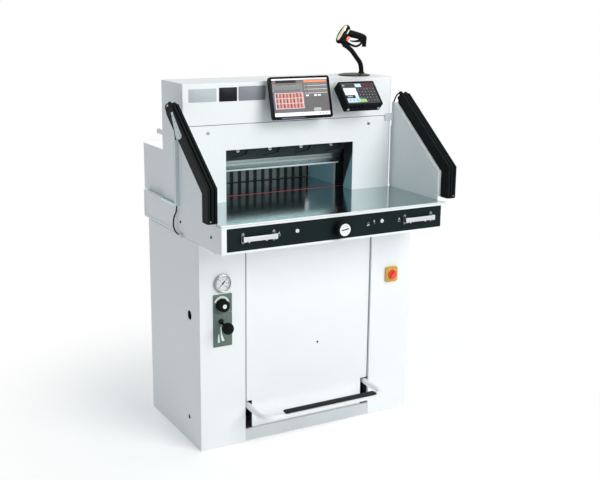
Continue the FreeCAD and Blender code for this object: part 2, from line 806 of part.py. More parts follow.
# Clamp beam with its rods, and the cylinders that drive it
def build_clamp():
    lift = f"({TABLE} + clamp_lift)"
    middle = "((clamp_front + clamp_back) / 2)"
    beam = block("clamp_bar", ("-clamp_length / 2", "clamp_length / 2"),
                 ("clamp_front", "clamp_back"), (lift, f"{lift} + clamp_height"))
    rods = []
    cylinders = []
    for name, sign in (("left", "-"), ("right", "")):
        place = f"{sign}rod_offset"
        rods.append(rod(f"clamp_rod_{name}", "Z", (place, middle, f"{lift} + clamp_height"),
                        "rod_radius", "rod_length"))
        bore = rod(f"cylinder_bore_{name}", "Z", (place, middle, f"{TABLE} + cylinder_bottom - 1"),
                   "rod_radius + clearance", "cylinder_top - cylinder_bottom - sheet")
        barrel = rod(f"cylinder_barrel_{name}", "Z", (place, middle, f"{TABLE} + cylinder_bottom"),
                     "cylinder_radius", "cylinder_top - cylinder_bottom")
        cylinders.append(cut(f"clamp_cylinder_{name}", barrel, bore))
    node(group("clamp_beam", beam, *rods))
    node(group("clamp_cylinders", *cylinders))


# Backgauge comb, its carriage, screw, rails and motor, and the side lays
def build_backgauge():
    bars = []
    for index in range(int(size("bar_count"))):
        left = f"bar_pitch * ({index} - (bar_count - 1) / 2) - bar_width / 2"
        bars.append(block(f"comb_bar_{index}", (left, f"{left} + bar_width"),
                          ("comb_front", "comb_front + bar_depth"),
                          (f"{TABLE} + comb_gap", f"{TABLE} + comb_height")))
    node(group("backgauge_comb", *bars))
    rail_front = "(comb_front + bar_depth)"
    rail_back = "(comb_front + bar_depth + rail_depth)"
    half_rail = "(bar_pitch * (bar_count - 1) / 2 + bar_width / 2)"
    arm_outside = "(guide_offset + arm_width / 2)"
    beam_low = f"({TABLE} + lay_height + comb_gap)"
    rail = block("comb_rail", (f"-{half_rail}", half_rail), (rail_front, rail_back),
                 (f"{TABLE} + comb_gap * 3", f"{beam_low} + arm_width"))
    yoke = block("carriage_yoke", (f"-{arm_outside}", arm_outside), (rail_front, rail_back),
                 (beam_low, f"{beam_low} + arm_width"))
    arm = block("carriage_arm", ("guide_offset - arm_width / 2", arm_outside),
                (f"{rail_back} - nut_depth", rail_back),
                (f"{SCREW_LINE} - nut_height / 2", f"{beam_low} + arm_width"))
    nut = block("carriage_nut", ("guide_offset - nut_width / 2", "guide_offset + nut_width / 2"),
                (f"{rail_back} - nut_depth", rail_back),
                (f"{SCREW_LINE} - nut_height / 2", f"{SCREW_LINE} + nut_height / 2"))
    bores = []
    for name, place in (("left", "-guide_offset"), ("right", "guide_offset")):
        bores.append(rod(f"nut_bore_{name}", "Y", (place, f"{rail_back} - nut_depth - 1", SCREW_LINE),
                         "screw_radius + clearance", "nut_depth + 2"))
    carriage = fuse("carriage_solid", rail, yoke, arm, nut, mirrored("carriage_arm_left", arm),
                    mirrored("carriage_nut_left", nut))
    node(cut("gauge_carriage", carriage, *bores))
    node(rod("gauge_lead_screw", "Y", ("guide_offset", "stick_front - rib_depth / 2", SCREW_LINE),
             "screw_radius", "bed_back - bed_wall / 2 - stick_front + rib_depth / 2"))
    rib_back = "(stick_front + rib_depth)"
    motor_back = "(stick_front - rib_depth / 2)"
    rail_rod = rod("gauge_rail", "Y", ("-guide_offset", rib_back, SCREW_LINE), "screw_radius",
                   f"bed_back - bed_wall - {rib_back}")
    motor = block("gauge_motor", ("guide_offset - motor_size / 2", "guide_offset + motor_size / 2"),
                  (f"{motor_back} - motor_length", motor_back),
                  (f"{SCREW_LINE} - motor_size / 2", f"{SCREW_LINE} + motor_size / 2"))
    node(group("gauge_drive", rail_rod, motor))
    lay = block("side_lay_right", ("lay_offset", "lay_offset + lay_thickness"), ("lay_front", "lay_back"),
                (TABLE, f"{TABLE} + lay_height"))
    node(group("side_lays", mirrored("side_lay_left", lay), lay))


# Walls and hinge rail of the rear table, and its clear cover
def build_rear_table():
    outer = block("wall_outer", ("-wall_offset - wall_thickness", "wall_offset + wall_thickness"),
                  ("head_back", "rear_table_back"), (TABLE, f"{TABLE} + wall_height"))
    inner = block("wall_inner", ("-wall_offset", "wall_offset"),
                  ("head_back - 1", "rear_table_back - wall_thickness"),
                  (f"{TABLE} - 1", f"{TABLE} + wall_height + 1"))
    low_back = block("wall_low_back", ("-wall_offset", "wall_offset"),
                     ("rear_table_back - wall_thickness - 1", "rear_table_back + 1"),
                     (f"{TABLE} + back_wall_height", f"{TABLE} + wall_height + 1"))
    walls = cut("rear_walls", outer, inner, low_back)
    rail = block("hinge_rail_bar", (f"-{HEAD}", HEAD), ("head_back", "head_back + rail_thickness"),
                 (f"{TABLE} + rail_bottom", f"{TABLE} + rail_bottom + rail_height"))
    ear = block("hinge_ear_right", (f"{HEAD} - ear_thickness", HEAD), ("head_back", "ear_reach"),
                (f"{TABLE} + rail_bottom", f"{TABLE} + rail_bottom + rail_height"))
    bore = rod("hinge_ear_bore", "X", (f"-{HEAD} - 1", "hinge_back", f"{TABLE} + hinge_rise"),
               "pin_radius + clearance", "head_width + 2")
    hinge = cut("hinge_rail", fuse("hinge_solid", rail, ear, mirrored("hinge_ear_left", ear)), bore)
    node(group("rear_table_guard", walls, hinge))
    far = "(rear_table_back + cover_overhang)"
    wall_top = f"({TABLE} + wall_height + 1)"
    sheet_part = plate("cover_sheet", "YZ", [
        ("hinge_back", f"{TABLE} + hinge_rise + cover_thickness / 2"),
        ("hinge_back", f"{TABLE} + hinge_rise - cover_thickness / 2"),
        (far, wall_top),
        (far, f"{wall_top} + cover_thickness"),
    ], "-wall_offset - wall_thickness", "(wall_offset + wall_thickness) * 2")
    pin = rod("cover_pin", "X", (f"-{HEAD}", "hinge_back", f"{TABLE} + hinge_rise"),
              "pin_radius", "head_width")
    node(fuse("rear_cover", sheet_part, pin))


# Side guards with their folded edges, light curtains, their fittings and leads
RUN = "(guard_front - guard_crest)"
RISE = "(guard_top - guard_knee)"
SLANT = f"sqrt({RUN}^2 + {RISE}^2)"
GUARD_KNEE = f"({TABLE} + guard_knee)"
GUARD_TOP = f"({TABLE} + guard_top)"
CURTAIN_FOOT = f"({TABLE} + curtain_foot)"


def edge_strip(label, start, width, outer, inner):
    """A strip along the guard's front and slanted edges, between two distances out from them."""
    def corner(away):
        lift = f"{away} * ({RUN} / {SLANT} - (1 - {RISE} / {SLANT}) * {RISE} / {RUN})"
        knee = (f"-guard_front - {away}", f"{GUARD_KNEE} + {lift}")
        crest = (f"-guard_crest - {away} * {RISE} / {SLANT}", f"{GUARD_TOP} + {away} * {RUN} / {SLANT}")
        return knee, crest

    inner_knee, inner_crest = corner(inner)
    outer_knee, outer_crest = corner(outer)
    return plate(label, "YZ", [
        (inner_knee[0], CURTAIN_FOOT), inner_knee, inner_crest,
        outer_crest, outer_knee, (outer_knee[0], CURTAIN_FOOT),
    ], start, width)


def build_guards():
    foot = f"({TABLE} - guard_foot)"
    sheet_part = plate("guard_sheet", "YZ", [
        ("-guard_front", foot),
        ("-guard_back", foot),
        ("-guard_back", GUARD_TOP),
        ("-guard_crest", GUARD_TOP),
        ("-guard_front", GUARD_KNEE),
    ], GUARD_INSIDE, "guard_thickness")
    fold = edge_strip("guard_folded_edge", GUARD_OUTSIDE, "guard_fold_reach", "0", "(-guard_fold)")
    guard = fuse("guard_plate_right", sheet_part, fold)
    node(guard)
    node(mirrored("guard_plate_left", guard))
    for side in ("right", "left"):
        near = f"({GUARD_OUTSIDE} + {side}_curtain_offset)"
        core = edge_strip(f"curtain_core_{side}", near, "curtain_width",
                          "(curtain_depth - groove_depth)", "0")
        ribs = []
        for index in range(3):
            start = f"{near} + {index} * (curtain_width - groove_width) / 2"
            ribs.append(edge_strip(f"curtain_rib_{side}_{index}", start, "groove_width",
                                   "curtain_depth", "0"))
        if side == "right":
            node(fuse("light_curtain_right", core, *ribs))
        else:
            node(mirrored("light_curtain_left", fuse("curtain_unturned", core, *ribs)))
    bracket = plate("curtain_bracket", "YZ", [(f"-{y}", f"{TABLE} + {z}") for y, z in BRACKET_POINTS],
                    f"-{GUARD_OUTSIDE} - guard_thickness", "guard_thickness")
    duct = block("cable_duct_right", (GUARD_OUTSIDE, f"{GUARD_OUTSIDE} + duct_depth"),
                 ("-duct_front", "-duct_front + duct_width"),
                 (f"{TABLE} + duct_bottom", f"{TABLE} + duct_top"))
    stay = block("guard_stay", ("stay_left", GUARD_INSIDE), ("head_front - stay_thickness", "head_front"),
                 (f"{TABLE} + stay_bottom", f"{TABLE} + stay_bottom + stay_height"))
    node(group("guard_fittings", stay, bracket, duct, mirrored("cable_duct_left", duct)))


def build_leads():
    table = size("table_height")
    outside = size("bed_width") / 2 + size("clearance") + size("guard_thickness")
    duct_x = outside + size("duct_depth") / 2
    duct_y = -size("duct_front") + size("duct_width") / 2
    duct_top = table + size("duct_top")
    duct_bottom = table + size("duct_bottom")
    run = size("guard_front") - size("guard_crest")
    rise = size("guard_top") - size("guard_knee")
    slant = math.hypot(run, rise)
    half = size("curtain_depth") / 2
    exit_y = -size("guard_crest") - half * rise / slant
    exit_z = table + size("guard_top") + half * run / slant
    reach = size("lead_exit_run")
    gland_z = table - size("gland_drop")
    gland_back = -size("gland_back")
    inward = size("lead_inward")
    solids = []
    for name, sign, swing in (("left", -1, size("left_lead_swing")), ("right", 1, 0)):
        middle = outside + size(name + "_curtain_offset") + size("curtain_width") / 2
        crest_y = swing - size("lead_crest_back")
        # The upper lead leaves the curtain along its slope, loops back and drops into the duct.
        upper = [
            (middle, exit_y, exit_z),
            (middle, exit_y + reach * run / slant, exit_z + reach * rise / slant),
            (middle - inward, crest_y, exit_z + inward),
            (duct_x + inward, crest_y + swing / 2, exit_z - size("lead_turn_drop")),
            (duct_x, duct_y, duct_top + size("lead_entry")),
            (duct_x, duct_y, duct_top),
        ]
        # The lower lead leaves the duct, bows to the back and turns forward into its gland.
        lower = [
            (duct_x, duct_y, duct_bottom),
            (duct_x, duct_y, duct_bottom - size("lead_foot_run")),
            (duct_x, duct_y + size("lead_bow"), duct_bottom - size("lead_bow_top")),
            (duct_x, duct_y + size("lead_bow"), duct_bottom - size("lead_bow_bottom")),
            (duct_x, gland_back + size("lead_gland_run"), gland_z),
            (duct_x, gland_back, gland_z),
        ]
        for points in (upper, lower):
            solids.append(tube(routed([(sign * x, y, z) for x, y, z in points]), size("lead_radius")))
            print(name, [tuple(round(value, 1) for value in point) for point in points])
    leads = feature("lead_runs", Part.makeCompound(solids))
    gland = rod("lead_gland_right", "Y",
                (f"{GUARD_OUTSIDE} + duct_depth / 2", "-gland_back - gland_length",
                 f"{TABLE} - gland_drop"),
                "gland_radius", "gland_length")
    inlet = rod("mains_gland", "Y", ("inlet_x", f"{BACK} - gland_length", "inlet_rise"),
                "inlet_radius - clearance", "gland_length * 1.5")
    nut = rod("mains_gland_nut", "Y", ("inlet_x", BACK, "inlet_rise"),
              "inlet_radius + gland_radius / 2", "gland_radius")
    node(group("sensor_leads", leads, gland, mirrored("lead_gland_left", gland),
               fuse("mains_inlet", inlet, nut)))


# Badge places, screws, and the two screens with their brackets
def build_screens():
    badges = []
    for name, left, right, low, high in BADGES:
        badges.append(block(f"badge_{name}", (f"{left}", f"{right}"),
                            ("head_front - badge_thickness", "head_front"),
                            (f"{TABLE} + {low}", f"{TABLE} + {high}")))
    node(group("badge_plates", *badges))
    lean = "monitor_tilt"
    low = f"({TABLE} + monitor_bottom)"
    left = "(monitor_centre - monitor_width / 2)"
    slab = plate("monitor_slab", "YZ", [
        ("monitor_front", low),
        (f"monitor_front + monitor_height * sin({lean})", f"{low} + monitor_height * cos({lean})"),
        (f"monitor_front + monitor_height * sin({lean}) + monitor_thickness * cos({lean})",
         f"{low} + monitor_height * cos({lean}) - monitor_thickness * sin({lean})"),
        (f"monitor_front + monitor_thickness * cos({lean})", f"{low} - monitor_thickness * sin({lean})"),
    ], left, "monitor_width")
    reach = "(monitor_thickness + knuckle_stand)"
    pivot_y = f"(monitor_front + monitor_height / 2 * sin({lean}) + {reach} * cos({lean}))"
    pivot_z = f"({low} + monitor_height / 2 * cos({lean}) - {reach} * sin({lean}))"
    knuckle = rod("monitor_knuckle", "X", ("monitor_centre - knuckle_length / 2", pivot_y, pivot_z),
                  "knuckle_radius", "knuckle_length")
    neck = block("monitor_neck",
                 ("monitor_centre - knuckle_length / 2", "monitor_centre + knuckle_length / 2"),
                 (f"{pivot_y} - knuckle_stand", pivot_y),
                 (f"{pivot_z} - knuckle_radius / 2", f"{pivot_z} + knuckle_radius / 2"))
    pin = rod("monitor_pin", "X", ("monitor_centre - knuckle_length / 2 - ear_width * 2", pivot_y, pivot_z),
              "hinge_bore", "knuckle_length + ear_width * 4")
    node(fuse("monitor", slab, neck, knuckle, pin))
    ears = []
    for name, place in (("left", "(monitor_centre - knuckle_length / 2 - ear_width - clearance)"),
                        ("right", "(monitor_centre + knuckle_length / 2 + clearance)")):
        ears.append(block(f"monitor_ear_{name}", (place, f"{place} + ear_width"),
                          (f"{pivot_y} - knuckle_radius", "head_front"),
                          (f"{pivot_z} - knuckle_radius", f"{pivot_z} + knuckle_radius")))
    foot = block("monitor_foot", ("monitor_centre - knuckle_length", "monitor_centre + knuckle_length"),
                 ("head_front - ear_width", "head_front"),
                 (f"{pivot_z} - knuckle_length / 2", f"{pivot_z} + knuckle_length / 2"))
    bore = rod("monitor_bore", "X", ("monitor_centre - knuckle_length", pivot_y, pivot_z),
               "hinge_bore + clearance / 3", "knuckle_length * 2")
    monitor_bracket = cut("monitor_bracket", fuse("monitor_bracket_solid", foot, *ears), bore)
    low = f"({TABLE} + unit_bottom)"
    lean = "unit_tilt"
    node(plate("control_unit", "YZ", [
        ("unit_front", low),
        (f"unit_front + unit_slant * sin({lean})", f"{low} + unit_slant * cos({lean})"),
        (f"unit_front + unit_slant * sin({lean}) + unit_thickness * cos({lean})",
         f"{low} + unit_slant * cos({lean}) - unit_thickness * sin({lean})"),
        (f"unit_front + unit_thickness * cos({lean})", f"{low} - unit_thickness * sin({lean})"),
    ], "unit_left", "unit_width"))
    back_y = f"(unit_front + unit_thickness * cos({lean}))"
    back_z = f"({low} - unit_thickness * sin({lean}))"
    upper_end = "unit_slant * bracket_share"
    unit_bracket = plate("unit_bracket", "YZ", [
        (f"{back_y} + unit_slant / 2 * sin({lean})", f"{back_z} + unit_slant / 2 * cos({lean})"),
        (f"{back_y} + {upper_end} * sin({lean})", f"{back_z} + {upper_end} * cos({lean})"),
        ("head_front", f"{back_z} + {upper_end} * cos({lean})"),
        ("head_front", f"{back_z} + unit_slant / 3 * cos({lean})"),
    ], "unit_left + unit_width / 2 - knuckle_length / 2", "knuckle_length")
    node(group("screen_brackets", monitor_bracket, unit_bracket))


# Hand scanner, its trigger, and the stand that carries it
def build_scanner():
    top = size("table_height") + size("head_height")
    base = rod("scanner_base", "Z", ("base_x", "0", HEAD_TOP), "base_radius", "base_height")
    cup_z = top + size("cup_rise")
    neck_path = [
        (size("neck_x"), 0, top + size("base_height")),
        (size("neck_x"), 0, top + size("neck_straight")),
        (size("neck_x") - size("neck_shift"), 0, top + size("neck_bend")),
        (size("cup_x") + size("cup_reach"), 0, cup_z - size("cup_drop")),
        (size("cup_x"), 0, cup_z),
    ]
    neck = feature("scanner_neck", tube(routed(neck_path), size("neck_radius")))
    cup = rod("scanner_cup", "Z", ("cup_x", "0", f"{HEAD_TOP} + cup_rise"), "cup_radius", "cup_height")
    node(group("scanner_stand", base, fuse("neck_and_cup", neck, cup)))
    centre_z = f"({HEAD_TOP} + cup_rise + cup_height + scanner_rise)"
    centre = Vector(size("head_x"), 0, top + size("cup_rise") + size("cup_height") + size("scanner_rise"))
    head = feature("scanner_head", egg(size("head_length") / 2, size("head_girth"), size("head_end")))
    head.Placement = Placement(centre, Rotation(Vector(0, 1, 0), size("head_tilt") - 90))
    stub_start = f"{HEAD_TOP} + cup_rise + cup_height"
    stub = rod("scanner_stub", "Z", ("cup_x", "0", stub_start), "stub_radius", "scanner_rise * 0.8")
    handle_path = [tuple(centre + Vector(x, 0, z)) for x, z in HANDLE_POINTS]
    handle_wire = routed(handle_path, size("handle_corner"))
    handle = feature("scanner_handle", tube(handle_wire, size("handle_radius")))
    loop_path = [tuple(centre + Vector(x, 0, z)) for x, z in LOOP_POINTS]
    loop = feature("scanner_loop", tube(routed(loop_path, size("loop_corner")), size("loop_radius")))
    front = fuse("scanner_front", head, stub)
    node(fuse("scanner_body", fuse("scanner_grip", front, handle), loop))
    # The trigger hangs from the handle just behind the head.
    node(block("scanner_trigger", ("head_x + trigger_offset", "head_x + trigger_offset + trigger_depth"),
               ("-trigger_width / 2", "trigger_width / 2"),
               (f"{centre_z} - trigger_drop - trigger_length", f"{centre_z} - trigger_drop")))


# Hand wheel, push buttons and cut bars on the fascia
def build_fascia_controls():
    disc = rod("wheel_disc", "Y", ("0", f"{FASCIA_FACE} - wheel_depth - clearance * 3", "wheel_rise"),
               "wheel_radius", "wheel_depth")
    shaft = rod("wheel_shaft", "Y", ("0", f"{FASCIA_FACE} - clearance * 4", "wheel_rise"),
                "shaft_radius", "shaft_length * 0.7")
    collar = rod("wheel_collar", "Y", ("0", f"{FASCIA_BACK} + sheet + clearance", "wheel_rise"),
                 "shaft_radius * 1.5", "sheet * 2")
    node(fuse("hand_wheel", disc, shaft, collar))
    for name, sign in (("left", "-"), ("right", "")):
        place = f"{sign}button_offset"
        cap = rod(f"button_cap_{name}", "Y", (place, f"{FASCIA_FACE} - button_travel * 2", "button_rise"),
                  "button_radius", "button_travel * 2 - button_travel - clearance")
        stem = rod(f"button_stem_{name}", "Y", (place, f"{FASCIA_FACE} - button_travel * 1.5", "button_rise"),
                   "shaft_radius", "shaft_length * 0.7")
        stop = rod(f"button_stop_{name}", "Y", (place, f"{FASCIA_BACK} + sheet + clearance", "button_rise"),
                   "button_radius", "sheet")
        node(fuse(f"push_button_{name}", cap, stem, stop))
    ovals = []
    for name in ("left", "right"):
        centre = f"{name}_bar_x"
        grip_back = f"({FASCIA_FACE} - oval_thickness - grip_stand + grip_depth)"
        grip = block(f"grip_{name}", (f"{centre} - bar_length / 2", f"{centre} + bar_length / 2"),
                     (f"{grip_back} - grip_depth", grip_back),
                     ("grip_rise - grip_height / 2", "grip_rise + grip_height / 2"))
        posts = []
        for end, side in (("a", "-"), ("b", "+")):
            place = f"({centre} {side} (bar_length / 2 - post_inset))"
            posts.append(rod(f"grip_post_{name}_{end}", "Y", (place, f"{grip_back} - 1", "grip_rise"),
                             "post_radius", "shaft_length + post_radius * 2"))
            posts.append(rod(f"grip_stop_{name}_{end}", "Y",
                             (place, f"{FASCIA_BACK} + sheet + clearance", "grip_rise"),
                             "post_radius * 1.6", "sheet"))
            middle = block(f"oval_middle_{name}_{end}",
                           (f"{place} - oval_width / 2", f"{place} + oval_width / 2"),
                           (f"{FASCIA_FACE} - oval_thickness", FASCIA_FACE),
                           ("grip_rise - oval_height / 2 + oval_width / 2",
                            "grip_rise + oval_height / 2 - oval_width / 2"))
            rounds = [rod(f"oval_round_{name}_{end}_{edge}", "Y",
                          (place, f"{FASCIA_FACE} - oval_thickness",
                           f"grip_rise {sign} (oval_height / 2 - oval_width / 2)"),
                          "oval_width / 2", "oval_thickness") for edge, sign in (("low", "-"), ("high", "+"))]
            bore = rod(f"oval_bore_{name}_{end}", "Y",
                       (place, f"{FASCIA_FACE} - oval_thickness - 1", "grip_rise"),
                       "post_radius + clearance", "oval_thickness + 2")
            ovals.append(cut(f"oval_{name}_{end}", fuse(f"oval_solid_{name}_{end}", middle, *rounds), bore))
        node(fuse(f"cut_bar_{name}", grip, *posts))
    node(group("cut_bar_mounts", *ovals))


# Pressure gauge, control plates, knob, lever and main switch on the stand's front
def build_stand_controls():
    case = rod("gauge_case", "Y", ("gauge_x", f"{FRONT} - gauge_depth", "gauge_rise"),
               "gauge_radius", "gauge_depth")
    body = rod("gauge_body_rod", "Y", ("gauge_x", f"{FRONT} - gauge_depth / 3", "gauge_rise"),
               "gauge_body", "gauge_back + gauge_depth / 3")
    dial = rod("gauge_dial_recess", "Y", ("gauge_x", f"{FRONT} - gauge_depth - 1", "gauge_rise"),
               "dial_radius", "dial_depth + 1")
    spindle = rod("gauge_spindle", "Y",
                  ("gauge_x", f"{FRONT} - gauge_depth + dial_depth / 2 + clearance", "gauge_rise"),
                  "needle_width / 2", "dial_depth / 2")
    node(fuse("pressure_gauge", cut("gauge_shell", fuse("gauge_solid", case, body), dial), spindle))
    level = f"({FRONT} - gauge_depth + dial_depth / 2)"
    hub = rod("needle_hub", "Y", ("gauge_x", f"{level} - needle_width / 2", "gauge_rise"),
              "needle_width * 1.5", "needle_width / 2")
    half = "needle_width / 2 * sin(needle_angle)"
    tip = "needle_length * sin(needle_angle)"
    tail = "needle_length * sin(needle_angle) / 3"
    pointer = plate("needle_pointer", "XZ", [
        (f"gauge_x - {tip}", f"gauge_rise - {tip}"),
        (f"gauge_x - {half}", f"gauge_rise + {half}"),
        (f"gauge_x + {tail} - {half}", f"gauge_rise + {tail} + {half}"),
        (f"gauge_x + {tail} + {half}", f"gauge_rise + {tail} - {half}"),
        (f"gauge_x + {half}", f"gauge_rise - {half}"),
    ], f"{level} - needle_width / 2", "needle_width / 2")
    node(fuse("gauge_needle", hub, pointer))
    plate_x = ("plate_left", "plate_left + plate_width")
    plate_y = (f"{FRONT} - plate_depth", FRONT)
    upper = block("upper_plate", plate_x, plate_y,
                  ("upper_plate_bottom", "upper_plate_bottom + upper_plate_height"))
    lower = block("lower_plate", plate_x, plate_y,
                  ("lower_plate_bottom", "lower_plate_bottom + lower_plate_height"))
    knob_hole = rod("upper_plate_hole", "Y", ("knob_x", f"{FRONT} - plate_depth - 1", "knob_rise"),
                    "shaft_radius + clearance", "plate_depth + 2")
    lever_slot = rod("lower_plate_hole", "Y", ("lever_x", f"{FRONT} - plate_depth - 1", "lever_rise"),
                     "lever_hole", "plate_depth + 2")
    box = block("switch_box", ("switch_x - switch_width / 2", "switch_x + switch_width / 2"),
                (f"{FRONT} - switch_depth", FRONT),
                ("switch_rise - switch_height / 2", "switch_rise + switch_height / 2"))
    box_hole = rod("switch_box_hole", "Y", ("switch_x", f"{FRONT} - switch_depth - 1", "switch_rise"),
                   "shaft_radius + clearance", "switch_depth + 2")
    pivot_y = f"({FRONT} + lever_setback)"
    ears = []
    for name, sign in (("left", "-"), ("right", "+")):
        ear = block(f"lever_ear_{name}", (f"lever_x {sign} ear_width * 2 - ear_width / 2",
                                          f"lever_x {sign} ear_width * 2 + ear_width / 2"),
                    (f"{FRONT} + sheet", f"{pivot_y} + knuckle_radius"),
                    ("lever_rise - knuckle_radius", "lever_rise + knuckle_radius"))
        bore = rod(f"lever_ear_bore_{name}", "X",
                   (f"lever_x {sign} ear_width * 2 - ear_width", pivot_y, "lever_rise"),
                   "lever_radius + clearance / 3", "ear_width * 2")
        ears.append(cut(f"lever_ear_cut_{name}", ear, bore))
    node(group("stand_control_plates", cut("upper_control_plate", upper, knob_hole),
               cut("lower_control_plate", lower, lever_slot), cut("main_switch_box", box, box_hole), *ears))
    knob = rod("knob_disc", "Y", ("knob_x", f"{FRONT} - plate_depth - clearance - knob_depth", "knob_rise"),
               "knob_radius", "knob_depth")
    knob_shaft = rod("knob_shaft", "Y", ("knob_x", f"{FRONT} - plate_depth - clearance * 2", "knob_rise"),
                     "shaft_radius", "knob_depth")
    node(fuse("pressure_knob", knob, knob_shaft))
    ball_y = f"({FRONT} - lever_reach)"
    ball = doc.addObject("Part::Sphere", "lever_ball")
    bind(ball, "Radius", "ball_radius")
    bind(ball, "Placement.Base.x", "lever_x")
    bind(ball, "Placement.Base.y", ball_y)
    bind(ball, "Placement.Base.z", "lever_rise - lever_drop")
    arm = doc.addObject("Part::Cylinder", "lever_arm")
    arm.Placement = Placement(Vector(), Rotation(Vector(1, 0, 0), 90))
    bind(arm, "Placement.Rotation.Angle", "90 deg + atan(lever_drop / (lever_reach + lever_setback))")
    bind(arm, "Radius", "lever_radius")
    bind(arm, "Height", "lever_reach + lever_setback")
    bind(arm, "Placement.Base.x", "lever_x")
    bind(arm, "Placement.Base.y", pivot_y)
    bind(arm, "Placement.Base.z", "lever_rise")
    cross = rod("lever_cross_pin", "X", ("lever_x - ear_width * 2.5", pivot_y, "lever_rise"),
                "lever_radius", "ear_width * 5")
    node(fuse("mode_lever", ball, arm, cross))
    dial_front = f"({FRONT} - switch_depth - clearance - switch_knob_depth)"
    base = rod("switch_dial", "Y", ("switch_x", f"{dial_front} + switch_knob_depth / 2", "switch_rise"),
               "switch_radius", "switch_knob_depth / 2")
    grip = block("switch_grip", ("switch_x - shaft_radius", "switch_x + shaft_radius"),
                 (dial_front, f"{dial_front} + switch_knob_depth"),
                 ("switch_rise - switch_grip / 2", "switch_rise + switch_grip / 2"))
    shaft = rod("switch_shaft", "Y", ("switch_x", f"{dial_front} + switch_knob_depth / 2", "switch_rise"),
                "shaft_radius", "switch_knob_depth + switch_depth")
    node(fuse("main_switch_knob", base, grip, shaft))


# Foot pedal, its tread and bearings
def build_pedal():
    front = -size("stand_front")
    pivot_y = front + size("pivot_inside")
    pivot_z = size("pivot_rise")
    reach_y = front - size("pedal_reach")
    run_z = pivot_z - size("pedal_drop")
    side = size("pedal_offset")
    path = [
        (-side, pivot_y, pivot_z),
        (-side, reach_y, run_z),
        (side, reach_y, run_z),
        (side, pivot_y, pivot_z),
    ]
    bent = feature("pedal_tube", tube(routed(path, size("pedal_corner")), size("pedal_radius")))
    line = f"({FRONT} + pivot_inside)"
    shaft = rod("pedal_shaft", "X", ("-bearing_offset - bearing_width", line, "pivot_rise"),
                "pivot_radius", "(bearing_offset + bearing_width) * 2")
    node(fuse("foot_pedal", bent, shaft))
    run = f"({FRONT} - pedal_reach)"
    top = "(pivot_rise - pedal_drop + pedal_radius + clearance)"
    node(block("pedal_tread", ("tread_left", "tread_left + tread_length"),
               (f"{run} - tread_width / 2", f"{run} + tread_width / 2"), (top, f"{top} + tread_thickness")))
    stand = block("bearing_block_right", ("bearing_offset", "bearing_offset + bearing_width"),
                  (f"{line} - bearing_depth / 2", f"{line} + bearing_depth / 2"),
                  ("pan_thickness", "pivot_rise + bearing_height"))
    bore = rod("bearing_bore_right", "X", ("bearing_offset - 1", line, "pivot_rise"),
               "pivot_radius + clearance / 3", "bearing_width + 2")
    bearing = cut("bearing_right", stand, bore)
    node(group("pedal_bearings", mirrored("bearing_left", bearing), bearing))


# Hydraulic tank, motor and pump, and the electrical box
def build_power_unit():
    tank = block("oil_tank", ("tank_left", "tank_left + tank_width"),
                 ("tank_front", "tank_front + tank_depth"), ("pan_thickness", "pan_thickness + tank_height"))
    middle_x = "tank_left + tank_width / 2"
    middle_y = "tank_front + tank_depth / 2"
    motor = rod("pump_motor", "Z", (middle_x, middle_y, "pan_thickness + tank_height"),
                "motor_radius", "motor_height")
    pump = rod("pump_head", "Z", (middle_x, middle_y, "pan_thickness + tank_height + motor_height"),
               "pump_radius", "pump_height")
    box = block("electrical_box", (f"{HALF} - sheet - box_width", f"{HALF} - sheet"),
                (f"{BACK} - sheet - box_depth", f"{BACK} - sheet"), ("box_bottom", "box_bottom + box_height"))
    node(group("power_unit", tank, motor, pump, box))


# Screws of the covers and guards, and the lock of the front panel
def build_fixings():
    cover_face = "(head_front + cover_step)"
    heads = []
    for name, sign in (("left", "-"), ("right", "")):
        heads.append(rod(f"cover_screw_{name}", "Y",
                         (f"{sign}cover_screw_x", f"{cover_face} - screw_head_height",
                          f"{TABLE} + cover_screw_rise"),
                         "screw_head_radius", "screw_head_height"))
    for index, y in enumerate(("-guard_back - guard_screw_back", "-guard_front + guard_screw_front")):
        screw = rod(f"guard_screw_right_{index}", "X", (GUARD_OUTSIDE, y, f"{TABLE} - guard_screw_drop"),
                    "screw_head_radius", "screw_head_height")
        heads.append(screw)
        heads.append(mirrored(f"guard_screw_left_{index}", screw))
    lock_face = f"{FRONT} + panel_recess - screw_head_height / 2"
    heads.append(rod("panel_lock", "Y", ("lock_x", lock_face, "lock_rise"),
                     "lock_radius", "screw_head_height / 2"))
    node(group("cover_screws", *heads))


build_stand()
build_table()
build_head()
build_knife()
build_clamp()
build_backgauge()
build_rear_table()
build_guards()
build_leads()
build_screens()
build_scanner()
build_fascia_controls()
build_stand_controls()
build_pedal()
build_power_unit()
build_fixings()
doc.recompute()

for item in doc.Objects:
    if "Invalid" in item.State or "Error" in item.State:
        raise RuntimeError(f"{item.Label} failed to build")
os.makedirs("parts", exist_ok=True)
for item in NODES:
    if item.Shape.isNull() or not item.Shape.isValid():
        raise RuntimeError(f"{item.Label} has no valid shape")
    item.Shape.exportStep(f"parts/{item.Label}.step")
print(len(NODES), "sub-parts")
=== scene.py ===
from math import atan2, copysign, cos, degrees, hypot, pi, radians, sin

import bmesh
import bpy
from mathutils import Matrix, Vector


